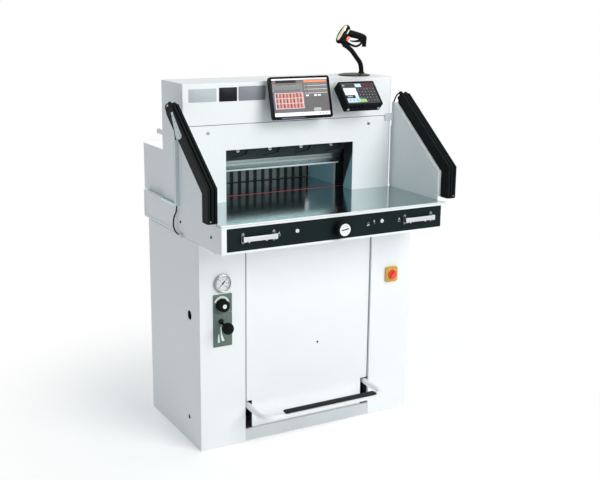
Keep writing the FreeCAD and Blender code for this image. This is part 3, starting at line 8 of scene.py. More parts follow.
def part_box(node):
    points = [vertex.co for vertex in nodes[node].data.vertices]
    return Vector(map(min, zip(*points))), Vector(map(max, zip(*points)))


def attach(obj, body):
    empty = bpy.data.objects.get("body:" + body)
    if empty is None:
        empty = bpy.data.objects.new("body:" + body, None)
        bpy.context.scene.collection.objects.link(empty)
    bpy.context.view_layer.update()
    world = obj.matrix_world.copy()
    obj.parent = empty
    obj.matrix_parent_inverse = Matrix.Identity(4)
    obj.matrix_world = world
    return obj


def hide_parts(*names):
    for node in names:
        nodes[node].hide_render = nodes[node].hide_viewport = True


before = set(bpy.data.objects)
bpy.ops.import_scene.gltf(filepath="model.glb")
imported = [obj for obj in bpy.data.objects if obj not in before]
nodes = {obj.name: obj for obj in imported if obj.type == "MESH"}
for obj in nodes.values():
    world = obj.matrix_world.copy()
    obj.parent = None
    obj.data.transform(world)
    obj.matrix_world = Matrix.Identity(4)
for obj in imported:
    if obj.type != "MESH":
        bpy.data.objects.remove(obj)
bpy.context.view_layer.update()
scene = bpy.context.scene
MM = 0.001
SIDES = (("left", -1), ("right", 1))


def linked(name, data):
    """A new object in the scene."""
    thing = bpy.data.objects.new(name, data)
    scene.collection.objects.link(thing)
    return thing


# Camera at the photograph's viewing angle
YAW, PITCH, ROLL = (radians(a) for a in (-29.455, 13.792, 0.623))
TARGET = Vector((0.235968, 0.251954, 0.622725))
DISTANCE = 4.334946
FOCAL_SHARE = 1004.601 / 600
SENSOR_WIDTH = 36
BACKWARD = Vector((sin(YAW) * cos(PITCH), -cos(YAW) * cos(PITCH), sin(PITCH)))


def make_camera():
    across = Vector((0, 0, 1)).cross(BACKWARD).normalized()
    upward = BACKWARD.cross(across)
    right = cos(ROLL) * across + sin(ROLL) * upward
    up = -sin(ROLL) * across + cos(ROLL) * upward
    data = bpy.data.cameras.new("photo_camera")
    data.sensor_width = SENSOR_WIDTH
    data.lens = SENSOR_WIDTH * FOCAL_SHARE
    data.clip_end = 60
    camera = linked("photo_camera", data)
    turn = Matrix((right, up, BACKWARD)).transposed()
    camera.matrix_world = Matrix.LocRotScale(TARGET + DISTANCE * BACKWARD, turn, None)
    scene.camera = camera


# Light: a white studio that is a little cool where it only fills
LAMPS = (
    ("key", (1.4, -4, 3), (0, -0.2, 0.7), 2.8, 150),
    ("top", (0.3, -0.4, 4.2), (0.1, 0, 0.9), 2.4, 26),
    ("back", (-0.3, 2.2, 1.9), (0.2, 0.2, 1), 0.8, 12),
)


def add_node(tree, kind, **values):
    """A shader node with its named inputs set, an underscore standing for a space."""
    made = tree.nodes.new("ShaderNode" + kind)
    for key, value in values.items():
        made.inputs[key.replace("_", " ")].default_value = value
    return made


def combined(tree, operation, first, second):
    """The outcome of a sum on two sockets."""
    made = add_node(tree, "Math")
    made.operation = operation
    tree.links.new(first, made.inputs[0])
    tree.links.new(second, made.inputs[1])
    return made.outputs[0]


def mixed(tree, share, first, second):
    """The blend of two shader nodes by the second one's share."""
    mix = add_node(tree, "MixShader")
    for source, socket in zip((share, first.outputs[0], second.outputs[0]), mix.inputs):
        tree.links.new(source, socket)
    return mix.outputs[0]


def seen(tree):
    """A socket that is 1 where the camera, a reflection or a clear piece looks, and 0 for light."""
    path = add_node(tree, "LightPath")
    result = path.outputs["Is Camera Ray"]
    for kind in ("Is Glossy Ray", "Is Transmission Ray"):
        result = combined(tree, "MAXIMUM", result, path.outputs[kind])
    return result


def make_light():
    scene.view_settings.view_transform = "Standard"
    world = bpy.data.worlds.new("studio")
    scene.world = world
    world.use_nodes = True
    tree = world.node_tree
    tree.nodes.clear()
    fill = add_node(tree, "Background", Color=(0.84, 0.945, 1, 1), Strength=0.36)
    white = add_node(tree, "Background", Color=(1, 1, 1, 1))
    output = add_node(tree, "OutputWorld")
    tree.links.new(mixed(tree, seen(tree), fill, white), output.inputs[0])
    for name, place, aim, width, watts in LAMPS:
        lamp = bpy.data.lights.new(name, "AREA")
        lamp.size = width
        lamp.energy = watts
        lamp.color = (1, 0.985, 0.965)
        thing = linked(name, lamp)
        thing.location = place
        thing.rotation_euler = (Vector(aim) - Vector(place)).to_track_quat("-Z", "Y").to_euler()
        thing.visible_camera = False


def make_floor():
    mesh = bpy.data.meshes.new("floor")
    reach = 14
    corners = [(-reach, -reach, 0), (reach, -reach, 0), (reach, reach, 0), (-reach, reach, 0)]
    mesh.from_pydata(corners, [], [(0, 1, 2, 3)])
    floor = linked("floor", mesh)
    floor.location.z = -0.0005
    mat = bpy.data.materials.new("floor")
    mat.use_nodes = True
    tree = mat.node_tree
    link = tree.links.new
    tree.nodes.clear()
    place = add_node(tree, "TexCoord")
    length = add_node(tree, "VectorMath")
    length.operation = "LENGTH"
    link(place.outputs["Object"], length.inputs[0])
    fade = add_node(tree, "MapRange", From_Min=0.5, From_Max=1.4)
    fade.interpolation_type = "SMOOTHSTEP"
    link(length.outputs["Value"], fade.inputs["Value"])
    matte = add_node(tree, "BsdfDiffuse", Color=(0.9, 0.9, 0.9, 1))
    glow = add_node(tree, "Emission", Color=(1, 1, 1, 1), Strength=0.25)
    near = add_node(tree, "AddShader")
    link(matte.outputs[0], near.inputs[0])
    link(glow.outputs[0], near.inputs[1])
    white = add_node(tree, "Emission", Color=(1, 1, 1, 1))
    share = combined(tree, "MULTIPLY", fade.outputs["Result"], seen(tree))
    output = add_node(tree, "OutputMaterial")
    link(mixed(tree, share, near, white), output.inputs["Surface"])
    mesh.materials.append(mat)


# Materials
def finish(name, color, rough, metal=0, spread=0, broad=4, grain=0, fine=900, stretch=(1, 1, 1), wear=0,
           coat=0, glow=0, alpha=1, specular=0.5):
    """A finish whose colour varies by spread and gloss by wear on a broad scale, and its surface by grain."""
    mat = bpy.data.materials.new(name)
    mat.use_nodes = True
    tree = mat.node_tree
    link = tree.links.new
    shader = tree.nodes["Principled BSDF"]
    settings = {"Base Color": (*color, 1), "Roughness": rough, "Metallic": metal, "Alpha": alpha,
                "Specular IOR Level": specular, "Coat Weight": coat, "Coat Roughness": 0.08}
    if glow:
        settings |= {"Emission Color": (*color, 1), "Emission Strength": glow}
    for key, value in settings.items():
        shader.inputs[key].default_value = value
    place = add_node(tree, "TexCoord")
    scale = add_node(tree, "Mapping", Scale=stretch)
    link(place.outputs["Object"], scale.inputs["Vector"])
    if spread or wear:
        clouds = add_node(tree, "TexNoise", Scale=broad, Detail=5)
        link(scale.outputs[0], clouds.inputs["Vector"])
    if spread:
        ramp = add_node(tree, "ValToRGB")
        ramp.color_ramp.elements[0].position = 0.3
        ramp.color_ramp.elements[1].position = 0.7
        for element, sign in zip(ramp.color_ramp.elements, (-1, 1)):
            element.color = (*(min(1, max(0, c * (1 + sign * spread))) for c in color), 1)
        link(clouds.outputs["Fac"], ramp.inputs["Fac"])
        link(ramp.outputs["Color"], shader.inputs["Base Color"])
    if wear:
        gloss = add_node(tree, "MapRange", From_Min=0.3, From_Max=0.7, To_Min=max(0.02, rough - wear),
                         To_Max=rough + wear)
        link(clouds.outputs["Fac"], gloss.inputs["Value"])
        link(gloss.outputs["Result"], shader.inputs["Roughness"])
    if grain:
        specks = add_node(tree, "TexNoise", Scale=fine, Detail=2)
        link(scale.outputs[0], specks.inputs["Vector"])
        bump = add_node(tree, "Bump", Strength=grain, Distance=0.0004)
        link(specks.outputs["Fac"], bump.inputs["Height"])
        link(bump.outputs[0], shader.inputs["Normal"])
    return mat


def ink(name, color, glow=0, rough=0.35, specular=0.3):
    """A printed colour with a faint variation."""
    return finish(name, color, rough, spread=0.05, broad=40, wear=0.05, glow=glow,
                  specular=specular)


def lit(name, color, glow=0.2, rough=0.2):
    """A colour of a lit screen."""
    return ink("lit_" + name, color, glow, rough)


WHITE = finish("white_powder_coat", (0.8, 0.825, 0.84), 0.42, spread=0.012, broad=3, grain=0.1, fine=700,
               wear=0.05)
FASCIA = finish("black_fascia", (0.009, 0.016, 0.017), 0.42, spread=0.12, grain=0.05, wear=0.05,
                specular=0.06)
TABLE = finish("polished_table", (0.47, 0.58, 0.59), 0.13, metal=1, spread=0.04, broad=6, grain=0.03,
               fine=260, stretch=(0.1, 1, 1), wear=0.03)
KNIFE = finish("ground_steel", (0.21, 0.245, 0.245), 0.24, metal=1, spread=0.3, broad=60, grain=0.1,
               stretch=(0.02, 1, 1), wear=0.06)
COMB = finish("comb_steel", (0.18, 0.21, 0.215), 0.5, metal=0.3, spread=0.06, broad=20, grain=0.1,
              stretch=(1, 1, 0.05), wear=0.06)
DARK = finish("dark_steel", (0.024, 0.032, 0.034), 0.5, metal=0.2, spread=0.2, broad=20, grain=0.1,
              wear=0.08, specular=0.15)
BRIGHT = finish("bright_metal", (0.76, 0.78, 0.79), 0.17, metal=1, spread=0.04, grain=0.03, wear=0.04)
CAST = finish("painted_casting", (0.045, 0.055, 0.06), 0.6, spread=0.06, grain=0.5, fine=300, specular=0.15)
ANODISED = finish("black_anodised", (0.006, 0.009, 0.01), 0.5, spread=0.15, grain=0.06, stretch=(1, 1, 0.1),
                  wear=0.06, specular=0.05)
TRIM = finish("satin_aluminium", (0.74, 0.77, 0.79), 0.32, metal=0.85, spread=0.03, grain=0.08,
              stretch=(0.05, 1, 1), wear=0.05)
RING = finish("gauge_steel", (0.34, 0.36, 0.37), 0.25, metal=1, spread=0.1, grain=0.05)
# Painted shade: the kick plate is a darker grey than the white paint, standing in for the pedal's shadow on
# it
KICK_PLATE_SHADE = finish("kick_plate_painted_shade", (0.6, 0.63, 0.645), 0.3, spread=0.04, broad=3, grain=0.06)
FITTING = finish("light_fitting", (0.62, 0.68, 0.71), 0.4, metal=0.2, spread=0.03, grain=0.06)
BLACK = finish("black_plastic", (0.006, 0.008, 0.008), 0.55, spread=0.15, grain=0.3, fine=1100, wear=0.05,
               specular=0.05)
GLOSS = finish("gloss_black", (0.004, 0.004, 0.005), 0.28, spread=0.1, wear=0.04, specular=0.08)
RUBBER = finish("black_rubber", (0.012, 0.012, 0.013), 0.62, spread=0.15, grain=0.3, fine=1400,
                specular=0.2)
TREAD = finish("tread_rubber", (0.018, 0.021, 0.022), 0.75, spread=0.2, grain=0.6, fine=800, specular=0.2)
RED = finish("cutting_stick", (0.62, 0.02, 0.045), 0.5, spread=0.1, broad=60, grain=0.1)
GREEN = finish("green_enamel", (0.085, 0.135, 0.112), 0.38, spread=0.05, grain=0.08, wear=0.04)
BADGE = finish("badge_face", (0.46, 0.5, 0.52), 0.5, spread=0.02, grain=0.08, stretch=(0.05, 1, 1),
               specular=0.3)
BADGE_GREY = finish("badge_grey_face", (0.22, 0.24, 0.26), 0.5, spread=0.02, grain=0.08,
                    stretch=(0.05, 1, 1), specular=0.3)
SIGNAL = finish("signal_red", (0.8, 0.055, 0.02), 0.24, spread=0.05, coat=0.3)
YELLOW = finish("signal_yellow", (0.6, 0.34, 0.04), 0.34, spread=0.04, grain=0.08, coat=0.1)
ORANGE = finish("trigger_orange", (0.85, 0.16, 0.05), 0.28, spread=0.05, coat=0.3)
LAY = finish("blue_grey_enamel", (0.3, 0.52, 0.6), 0.42, spread=0.04, grain=0.08)
MOTOR = finish("motor_grey", (0.1, 0.12, 0.14), 0.5, spread=0.08, grain=0.2)
CLEAR = finish("clear_sheet", (0.9, 0.96, 0.97), 0.05, alpha=0.04, wear=0.02)
# Painted shade: a grey for the shaded gaps beside the door and round the cover screws
GAP_SHADE = finish("seam_shadow", (0.22, 0.25, 0.26), 0.6, spread=0.1, grain=0.1)
MARK = ink("printed_white", (0.78, 0.82, 0.8))
PALE_MARK = ink("printed_pale", (0.36, 0.4, 0.4))
DIAL = ink("dial_white", (0.76, 0.77, 0.78), rough=0.4)
BLACK_MARK = ink("printed_black", (0.01, 0.011, 0.012), specular=0.1)
# Painted highlight: the scan window's cream colour stands in for the reflection seen on it
WINDOW_HIGHLIGHT = finish("scan_window_painted_highlight", (0.8, 0.72, 0.5), 0.16, metal=0.6, spread=0.12, broad=60, coat=0.5)
OLIVE = finish("dark_olive", (0.022, 0.022, 0.01), 0.36, spread=0.2, grain=0.2, wear=0.05, specular=0.12)
LIT_WHITE = lit("white", (0.8, 0.81, 0.83), 0.25)
LIT_GREY = lit("grey", (0.13, 0.13, 0.13), 0.1)
LIT_DARK = lit("dark", (0.055, 0.053, 0.055), 0.1)
LIT_ORANGE = lit("orange", (0.66, 0.17, 0.05))
LIT_PEACH = lit("peach", (0.72, 0.27, 0.1))
LIT_PLUM = lit("plum", (0.05, 0.01, 0.05))
LIT_RED = lit("red", (0.22, 0.03, 0.02))
LIT_VIOLET = lit("violet", (0.3, 0.16, 0.38))
LIT_BLUE = lit("blue", (0.55, 0.76, 0.92), 0.15, 0.3)
LIT_GREEN = lit("green", (0.32, 0.55, 0.18), 0.1, 0.3)
KEY_FACE = ink("key_face", (0.028, 0.026, 0.032), rough=0.4)
UNIT_GREY = ink("unit_grey", (0.11, 0.11, 0.12), rough=0.35)
LIT_PALE = lit("pale", (0.36, 0.44, 0.48), 0.1, 0.3)
LIT_LILAC = lit("lilac", (0.62, 0.52, 0.68))
SLATE = lit("slate", (0.04, 0.04, 0.042), 0.1)
ASH = lit("ash", (0.36, 0.35, 0.35), 0.1)
INDIGO = ink("bezel_blue", (0.03, 0.03, 0.12), rough=0.2)
SATIN = finish("satin_steel", (0.55, 0.58, 0.6), 0.36, metal=0.9, spread=0.05, grain=0.05)
# Painted highlight: a pale, mostly matt steel that stays bright under any light, for the bright lines along
# the knife's ground edge and the side lays' front edges
EDGE_HIGHLIGHT = finish("edge_steel_painted_highlight", (0.74, 0.78, 0.79), 0.5, metal=0.25, spread=0.05, broad=30,
                    grain=0.08, stretch=(0.05, 1, 1))
MINT = ink("printed_mint", (0.74, 0.82, 0.78))
PALE_GREEN = ink("printed_pale_green", (0.24, 0.33, 0.29))
DARK_GREEN = ink("printed_dark_green", (0.045, 0.075, 0.062))
DARK_YELLOW = ink("dark_yellow", (0.3, 0.22, 0.03))
SIGNAL_DARK = ink("dark_signal_red", (0.42, 0.02, 0.01))


# Carried-over CAD nodes: their finish and, where set, the width of their rounded edges
DRESS = {
    WHITE: {1.2: ("base_pan", "stand_column_right", "front_beam", "head_casing", "guard_plate_left",
                  "guard_plate_right"),
            0.6: ("rear_panel", "front_panel", "machine_bed", "head_upper_cover", "head_lower_cover",
                  "head_rear_cover", "rear_table_guard"),
            0: ("foot_pedal", "stand_column_left")},
    KICK_PLATE_SHADE: {1.2: ("kick_plate",)},
    FASCIA: {0: ("control_fascia",)},
    TABLE: {0.4: ("front_table_plate", "rear_table_plate")},
    KNIFE: {0: ("knife",)},
    COMB: {0.6: ("backgauge_comb",)},
    DARK: {0.6: ("knife_carrier", "clamp_beam", "gauge_carriage", "screen_brackets"), 0: ("pedal_bearings",)},
    BRIGHT: {0: ("gauge_lead_screw", "gauge_drive")},
    CAST: {2: ("head_frame",)},
    MOTOR: {0: ("clamp_cylinders", "power_unit")},
    ANODISED: {1: ("light_curtain_left", "light_curtain_right")},
    TRIM: {0.8: ("table_front_trim",)},
    FITTING: {0.8: ("guard_fittings",)},
    RED: {0: ("cutting_stick",)},
    LAY: {0.5: ("side_lays",)},
    CLEAR: {0: ("rear_cover",)},
}


def dress(name, mat, edge):
    """Gives a CAD node its finish and rounds its edges."""
    thing = nodes[name]
    for slot in thing.material_slots:
        slot.material = mat
    if not edge:
        return
    weld = thing.modifiers.new("weld", "WELD")
    weld.merge_threshold = 0.00001
    bevel = thing.modifiers.new("edge", "BEVEL")
    bevel.width = edge * MM
    bevel.segments = 2
    bevel.limit_method = "ANGLE"
    bevel.angle_limit = radians(35)
    bevel.harden_normals = True


# Mesh tools: a piece is drawn in millimetres on a panel, u to its right, v up and w out of it
def span(node):
    """A node's low and high limits at rest along X, Y and Z, in millimetres."""
    return [(low / MM, high / MM) for low, high in zip(*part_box(node))]


def middle(pair):
    return sum(pair) / 2


def panel(origin, up=(0, 0, 1), out=(0, -1, 0)):
    up, out = Vector(up).normalized(), Vector(out).normalized()
    turn = Matrix((up.cross(out), up, out)).transposed().to_4x4()
    return Matrix.Translation(Vector(origin) * MM) @ turn @ Matrix.Scale(MM, 4)


def turned_by(angle, axis="Z"):
    return Matrix.Rotation(radians(angle), 4, axis)


def face_of(node, level):
    """The panel on a front face behind a node's middle, and how far the node stands out of it."""
    (x0, x1), (y0, _), (z0, z1) = span(node)
    return panel((middle((x0, x1)), level, middle((z0, z1)))), level - y0


def tube(name, points, radii, depth, steps, rounds):
    """A round tube along a spline, as a curve."""
    curve = bpy.data.curves.new(name, "CURVE")
    curve.dimensions = "3D"
    line = curve.splines.new("NURBS")
    line.points.add(len(points) - 1)
    for spot, point, radius in zip(line.points, points, radii):
        spot.co = (*point, 1)
        spot.radius = radius
    line.order_u = 3
    line.use_endpoint_u = True
    line.resolution_u = steps
    curve.bevel_depth = depth
    curve.bevel_resolution = rounds
    curve.use_fill_caps = True
    return curve


def rounded(u, v, radius, steps=5):
    """The outline of a rectangle with round corners."""
    points = []
    corners = ((u[1], v[1], 0), (u[0], v[1], 90), (u[0], v[0], 180), (u[1], v[0], 270))
    for corner_u, corner_v, first in corners:
        centre_u = corner_u - copysign(radius, corner_u - middle(u))
        centre_v = corner_v - copysign(radius, corner_v - middle(v))
        points += arc(radius, first, first + 90, steps, (centre_u, centre_v))
    return points


def ring(radius, count=32, wave=0, lobes=8, at=(0, 0)):
    """The outline of a circle, or of a lobed knob."""
    points = []
    for step in range(count):
        angle = 2 * pi * step / count
        reach = radius + wave * cos(lobes * angle)
        points.append((at[0] + reach * cos(angle), at[1] + reach * sin(angle)))
    return points


def arc(radius, start, end, steps, at=(0, 0)):
    angles = [radians(start + (end - start) * step / steps) for step in range(steps + 1)]
    return [(at[0] + radius * cos(a), at[1] + radius * sin(a)) for a in angles]


class Piece:
    """One visible piece of bevelled solids, each with its finish, that rides on a body."""

    def __init__(self, name, body, place=None):
        self.name = name
        self.body = body
        self.place = place or Matrix.Scale(MM, 4)
        self.mesh = bmesh.new()
        self.mats = []

    def add(self, part, mat, local=None):
        if mat not in self.mats:
            self.mats.append(mat)
        bmesh.ops.recalc_face_normals(part, faces=part.faces)
        for face in part.faces:
            face.material_index = self.mats.index(mat)
            face.smooth = True
        part.transform(self.place @ local if local else self.place)
        carrier = bpy.data.meshes.new("carrier")
        part.to_mesh(carrier)
        part.free()
        self.mesh.from_mesh(carrier)
        bpy.data.meshes.remove(carrier)

    def prism(self, points, w, mat, edge=0, steps=2, local=None):
        """An outline between two levels, with the edge of its outer face rounded."""
        part = bmesh.new()
        outer = [part.verts.new((*point, w[1])) for point in points]
        inner = [part.verts.new((*point, w[0])) for point in points]
        face = part.faces.new(outer)
        part.faces.new(list(reversed(inner)))
        for index in range(len(points)):
            part.faces.new((outer[index], outer[index - 1], inner[index - 1], inner[index]))
        if edge:
            bmesh.ops.bevel(part, geom=list(face.edges), offset=edge, segments=steps, profile=0.5,
                            affect="EDGES", clamp_overlap=True)
        self.add(part, mat, local)

    def slab(self, u, v, w, mat, corner=0, edge=0, turn=0):
        points = rounded(u, v, corner) if corner else [(u[0], v[0]), (u[1], v[0]), (u[1], v[1]), (u[0], v[1])]
        local = None
        if turn:
            centre = Vector((middle(u), middle(v), 0))
            local = Matrix.Translation(centre) @ turned_by(turn) @ Matrix.Translation(-centre)
        self.prism(points, w, mat, edge, local=local)

    def turned(self, profile, mat, at=(0, 0), count=48, local=None):
        """A profile of radius and level pairs turned about the outward axis."""
        part = bmesh.new()
        verts = [part.verts.new((radius, 0, level)) for radius, level in profile]
        edges = [part.edges.new(pair) for pair in zip(verts, verts[1:])]
        bmesh.ops.spin(part, geom=verts + edges, cent=(0, 0, 0), axis=(0, 0, 1), dvec=(0, 0, 0),
                       angle=2 * pi, steps=count, use_merge=True, use_duplicate=False)
        bmesh.ops.remove_doubles(part, verts=part.verts, dist=1e-4)
        shift = Matrix.Translation((*at, 0))
        self.add(part, mat, local @ shift if local else shift)

    def rod(self, radius, low, high, mat, at=(0, 0), count=24, local=None):
        self.turned([(0, low), (radius, low), (radius, high), (0, high)], mat, at, count, local)

    def egg(self, centre, axis, length, girth, mat, blunt=2.4):
        """A smooth closed body along an axis, girth wide across and high."""
        rings = 24
        profile = []
        for step in range(rings + 1):
            share = -1 + 2 * step / rings
            share = copysign(1 - (1 - abs(share)) ** 1.6, share)
            profile.append((girth * (1 - abs(share) ** blunt) ** (1 / 2), share * length))
        turn = Vector((0, 0, 1)).rotation_difference(Vector(axis)).to_matrix().to_4x4()
        self.turned(profile, mat, count=40, local=Matrix.Translation(centre) @ turn)

    def add_curve(self, curve, mat, merge=0, local=None):
        """The surface of a curve or a text, with points merged that are closer than merge."""
        holder = bpy.data.objects.new(curve.name, curve)
        part = bmesh.new()
        part.from_mesh(bpy.data.meshes.new_from_object(holder))
        if merge:
            bmesh.ops.remove_doubles(part, verts=part.verts, dist=merge)
        self.add(part, mat, local)
        bpy.data.objects.remove(holder)

    def pipe(self, points, radii, mat):
        """A smooth tube along a spline whose radius follows its control points."""
        self.add_curve(tube("pipe", points, radii, 1, 10, 5), mat, 1e-3)

    def number(self, text, at, height, level, mat):
        curve = bpy.data.curves.new("number", "FONT")
        curve.body = text
        curve.size = height
        curve.align_x = curve.align_y = "CENTER"
        curve.extrude = 0.05
        self.add_curve(curve, mat, local=Matrix.Translation((*at, level)))

    def screw(self, at, radius, level, mat=BRIGHT):
        """A socket-head screw, its socket drawn as a flat black hexagon of painted shade."""
        rise = radius * 0.5
        shares = ((0, 0.6), (0.5, 0.6), (0.55, 1), (0.85, 1), (1, 0.7), (1, 0), (0, 0))
        self.turned([(radius * wide, level + rise * high) for wide, high in shares], mat, at, 24)
        self.prism(ring(radius * 0.5, 6, at=at), (level, level + rise * 0.65), BLACK_MARK)

    def done(self, slot, *replaced):
        shape = bpy.data.meshes.new(self.name)
        self.mesh.to_mesh(shape)
        self.mesh.free()
        for mat in self.mats:
            shape.materials.append(mat)
        shape.set_sharp_from_angle(angle=radians(32))
        thing = linked(self.name, shape)
        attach(thing, self.body)
        if replaced:
            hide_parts(*replaced)


TABLE_TOP = span("front_table_plate")[2][1]
STAND_FRONT = span("stand_column_left")[1][0]
FASCIA_FACE = span("control_fascia")[1][0]
HEAD_FRONT = span("head_casing")[1][0]
GUARD_SHEET = 3


def tilted(name, node, body, angle, depth):
    """A piece on a housing's tilted face, half its width, and its height."""
    (x0, x1), (y0, _), (z0, z1) = span(node)
    sine, cosine = sin(radians(angle)), cos(radians(angle))
    height = (z1 - z0 - depth * sine) / cosine
    foot = (middle((x0, x1)), y0, z1 - height * cosine)
    return Piece(name, body, panel(foot, (0, sine, cosine), (0, -cosine, sine))), (x1 - x0) / 2, height


def patcher(piece, u, v, usual):
    """A function that lays flat patches, given in percent of a field's width and height."""
    def patch(across, up, mat, level=usual, corner=0, edge=0):
        piece.slab([u[0] + percent / 100 * (u[1] - u[0]) for percent in across],
                   [v[0] + percent / 100 * (v[1] - v[0]) for percent in up], (-1, level), mat, corner, edge)
    return patch


# Monitor: a bezel, its back shell and a lit screen with a plain layout of tiles and rows
MONITOR_TILT = 14.7
MONITOR_KNUCKLE = 24


def make_monitor():
    thickness = 12
    piece, half, height = tilted("monitor_dressed", "monitor", "display", MONITOR_TILT, thickness)
    piece.slab((-half, half), (0, height), (-thickness, -3), GLOSS, 8)
    piece.slab((-half, half), (0, height), (-3.2, -0.4), GLOSS, 8, 1.4)
    patch = patcher(piece, (11 - half, half - 11), (11, height - 8), 0)
    patch((0, 100), (0, 100), LIT_DARK, -0.3)
    patch((0, 100), (96.5, 100), LIT_WHITE)
    patch((7, 43), (88.5, 95), BLACK_MARK)
    patch((3, 6), (90, 93.5), LIT_RED)
    patch((45, 48), (90, 93.5), LIT_RED)
    patch((0, 54), (64, 87), LIT_GREY)
    patch((3, 50), (80, 85.5), ASH)
    patch((3, 50), (66.5, 70), ASH)
    patch((3, 54), (20, 62), LIT_LILAC, -0.1)
    for column in range(8):
        for row in range(3):
            u = 4.5 + 6.1 * column
            v = 21.5 + 13.5 * row
            dark = (LIT_PLUM, LIT_RED)[(column + row) % 2]
            light = (LIT_ORANGE, LIT_PEACH)[column * row % 2]
            patch((u, u + 3.4), (v, v + 12), dark, 0.1)
            patch((u + 3.4, u + 5.7), (v, v + 12), light, 0.1)
    patch((57, 98.5), (88.5, 95), LIT_ORANGE)
    for row in range(6):
        v = 83.5 - 5 * row
        patch((57, 98.5), (v, v + 2.8), ASH if row % 2 else LIT_GREY)
        patch((59, 63), (v + 0.6, v + 2.2), LIT_DARK, 0.1)
    for u in (59, 74, 81):
        patch((u, u + 5), (51.5, 55.5), LIT_WHITE, 0.1)
    patch((57, 98.5), (16, 49), SLATE)
    patch((57, 98.5), (10, 15), LIT_DARK)
    patch((71, 84), (10.5, 20), ASH, 0.1)
    patch((0, 100), (0, 9.5), LIT_WHITE)
    for u in (80, 86, 92):
        patch((u, u + 3), (3, 6.5), ASH, 0.1)
    piece.slab((-half * 0.72, half * 0.05), (2, 6), (-0.6, -0.2), INDIGO, 1.5)
    # The swivel behind the shell
    reach = -(thickness + MONITOR_KNUCKLE / 2)
    piece.slab((-20, 20), (height / 2 - 5, height / 2 + 5), (reach - 12, -thickness + 1), GLOSS, 2)
    piece.slab((-55, 55), (height / 2 - 35, height / 2 + 35), (-thickness - 3, -thickness + 1), GLOSS, 6)
    sideways = Matrix.Translation((0, height / 2, reach)) @ turned_by(90, "Y")
    piece.turned([(0, -32), (5, -32), (5, -20), (9, -19), (9, 19), (5, 20), (5, 32), (0, 32)], GLOSS,
                 count=28, local=sideways)
    piece.done("gloss_black", "monitor")


# Control unit: a slanted housing with a keypad, display fields and connectors
UNIT_TILT = 42.4
UNIT_DEPTH = 38


def make_control_unit():
    piece, half, height = tilted("control_unit_dressed", "control_unit", "machine", UNIT_TILT, UNIT_DEPTH)
    outline = rounded((-half, half), (0, height), 2)
    piece.prism(outline, (-UNIT_DEPTH, -8), BLACK)
    piece.prism(outline, (-8.2, 0), BLACK, edge=7, steps=1)
    patch = patcher(piece, (8 - half, half - 8), (8, height - 8), 0.4)
    patch((0, 100), (0, 100), LIT_DARK, 0.2, 1)
    patch((2, 98), (79, 98.5), UNIT_GREY, 0.3)
    patch((12, 40), (83, 95), KEY_FACE)
    patch((4, 7), (87, 91), LIT_WHITE, 0.5, 1)
    patch((42, 60), (80, 95.5), LIT_BLUE, 0.5)
    patch((62, 96), (80, 96.5), BLACK_MARK, 0.4)
    for index in range(7):
        u = 64 + 4.4 * index
        patch((u, u + 2.8), (83, 93.5), LIT_RED, 0.5)
    patch((2, 40), (42, 76), LIT_WHITE)
    for index in range(4):
        v = 46 + 7 * index
        patch((6, 34 - 4 * (index % 2)), (v, v + 2), LIT_PALE, 0.5)
    patch((2, 30), (28, 41), BLACK_MARK, 0.5)
    patch((6, 22), (32, 37), LIT_PALE, 0.6)
    patch((30, 40), (8, 42), LIT_BLUE)
    patch((2, 40), (6, 26), LIT_BLUE)
    for index in range(3):
        u = 6 + 11 * index
        patch((u, u + 7), (11, 21), LIT_PALE, 0.5, 1)
    patch((40, 60), (6, 25), LIT_GREEN, 0.6, 1, 0.3)
    for column in range(6):
        for row in range(5):
            if column < 2 and row < 1:
                continue
            u = 43.5 + 9.2 * column
            v = 7 + 14 * row
            patch((u, u + 7.8), (v, v + 11.5), KEY_FACE, 1, 1.2, 0.4)
            mark = PALE_MARK if (column + 2 * row) % 3 else LIT_VIOLET
            patch((u + 2.8, u + 5), (v + 4, v + 7.5), mark, 1.1)
    # Screws and connectors on the lower end
    below = Matrix.Translation((0, 0, -UNIT_DEPTH / 2)) @ turned_by(90, "X")
    for u in (-half + 14, half - 10):
        piece.turned([(0, 2), (3.5, 2), (4.5, 1), (4.5, 0), (0, 0)], FITTING, (u, -6), 20, below)
    for index in range(4):
        u = -half + 26 + 16 * index
        piece.turned([(0, 7), (3, 7), (5.5, 6), (6, 0), (0, 0)], BLACK, (u, 9), 20, below)
    piece.done("black_plastic", "control_unit")


# Hand scanner on its gooseneck
EGG_AXIS = Vector((cos(radians(54)), 0, sin(radians(54))))
HEAD_CENTRE = (276, 0, 1503)
CUP_X = 281


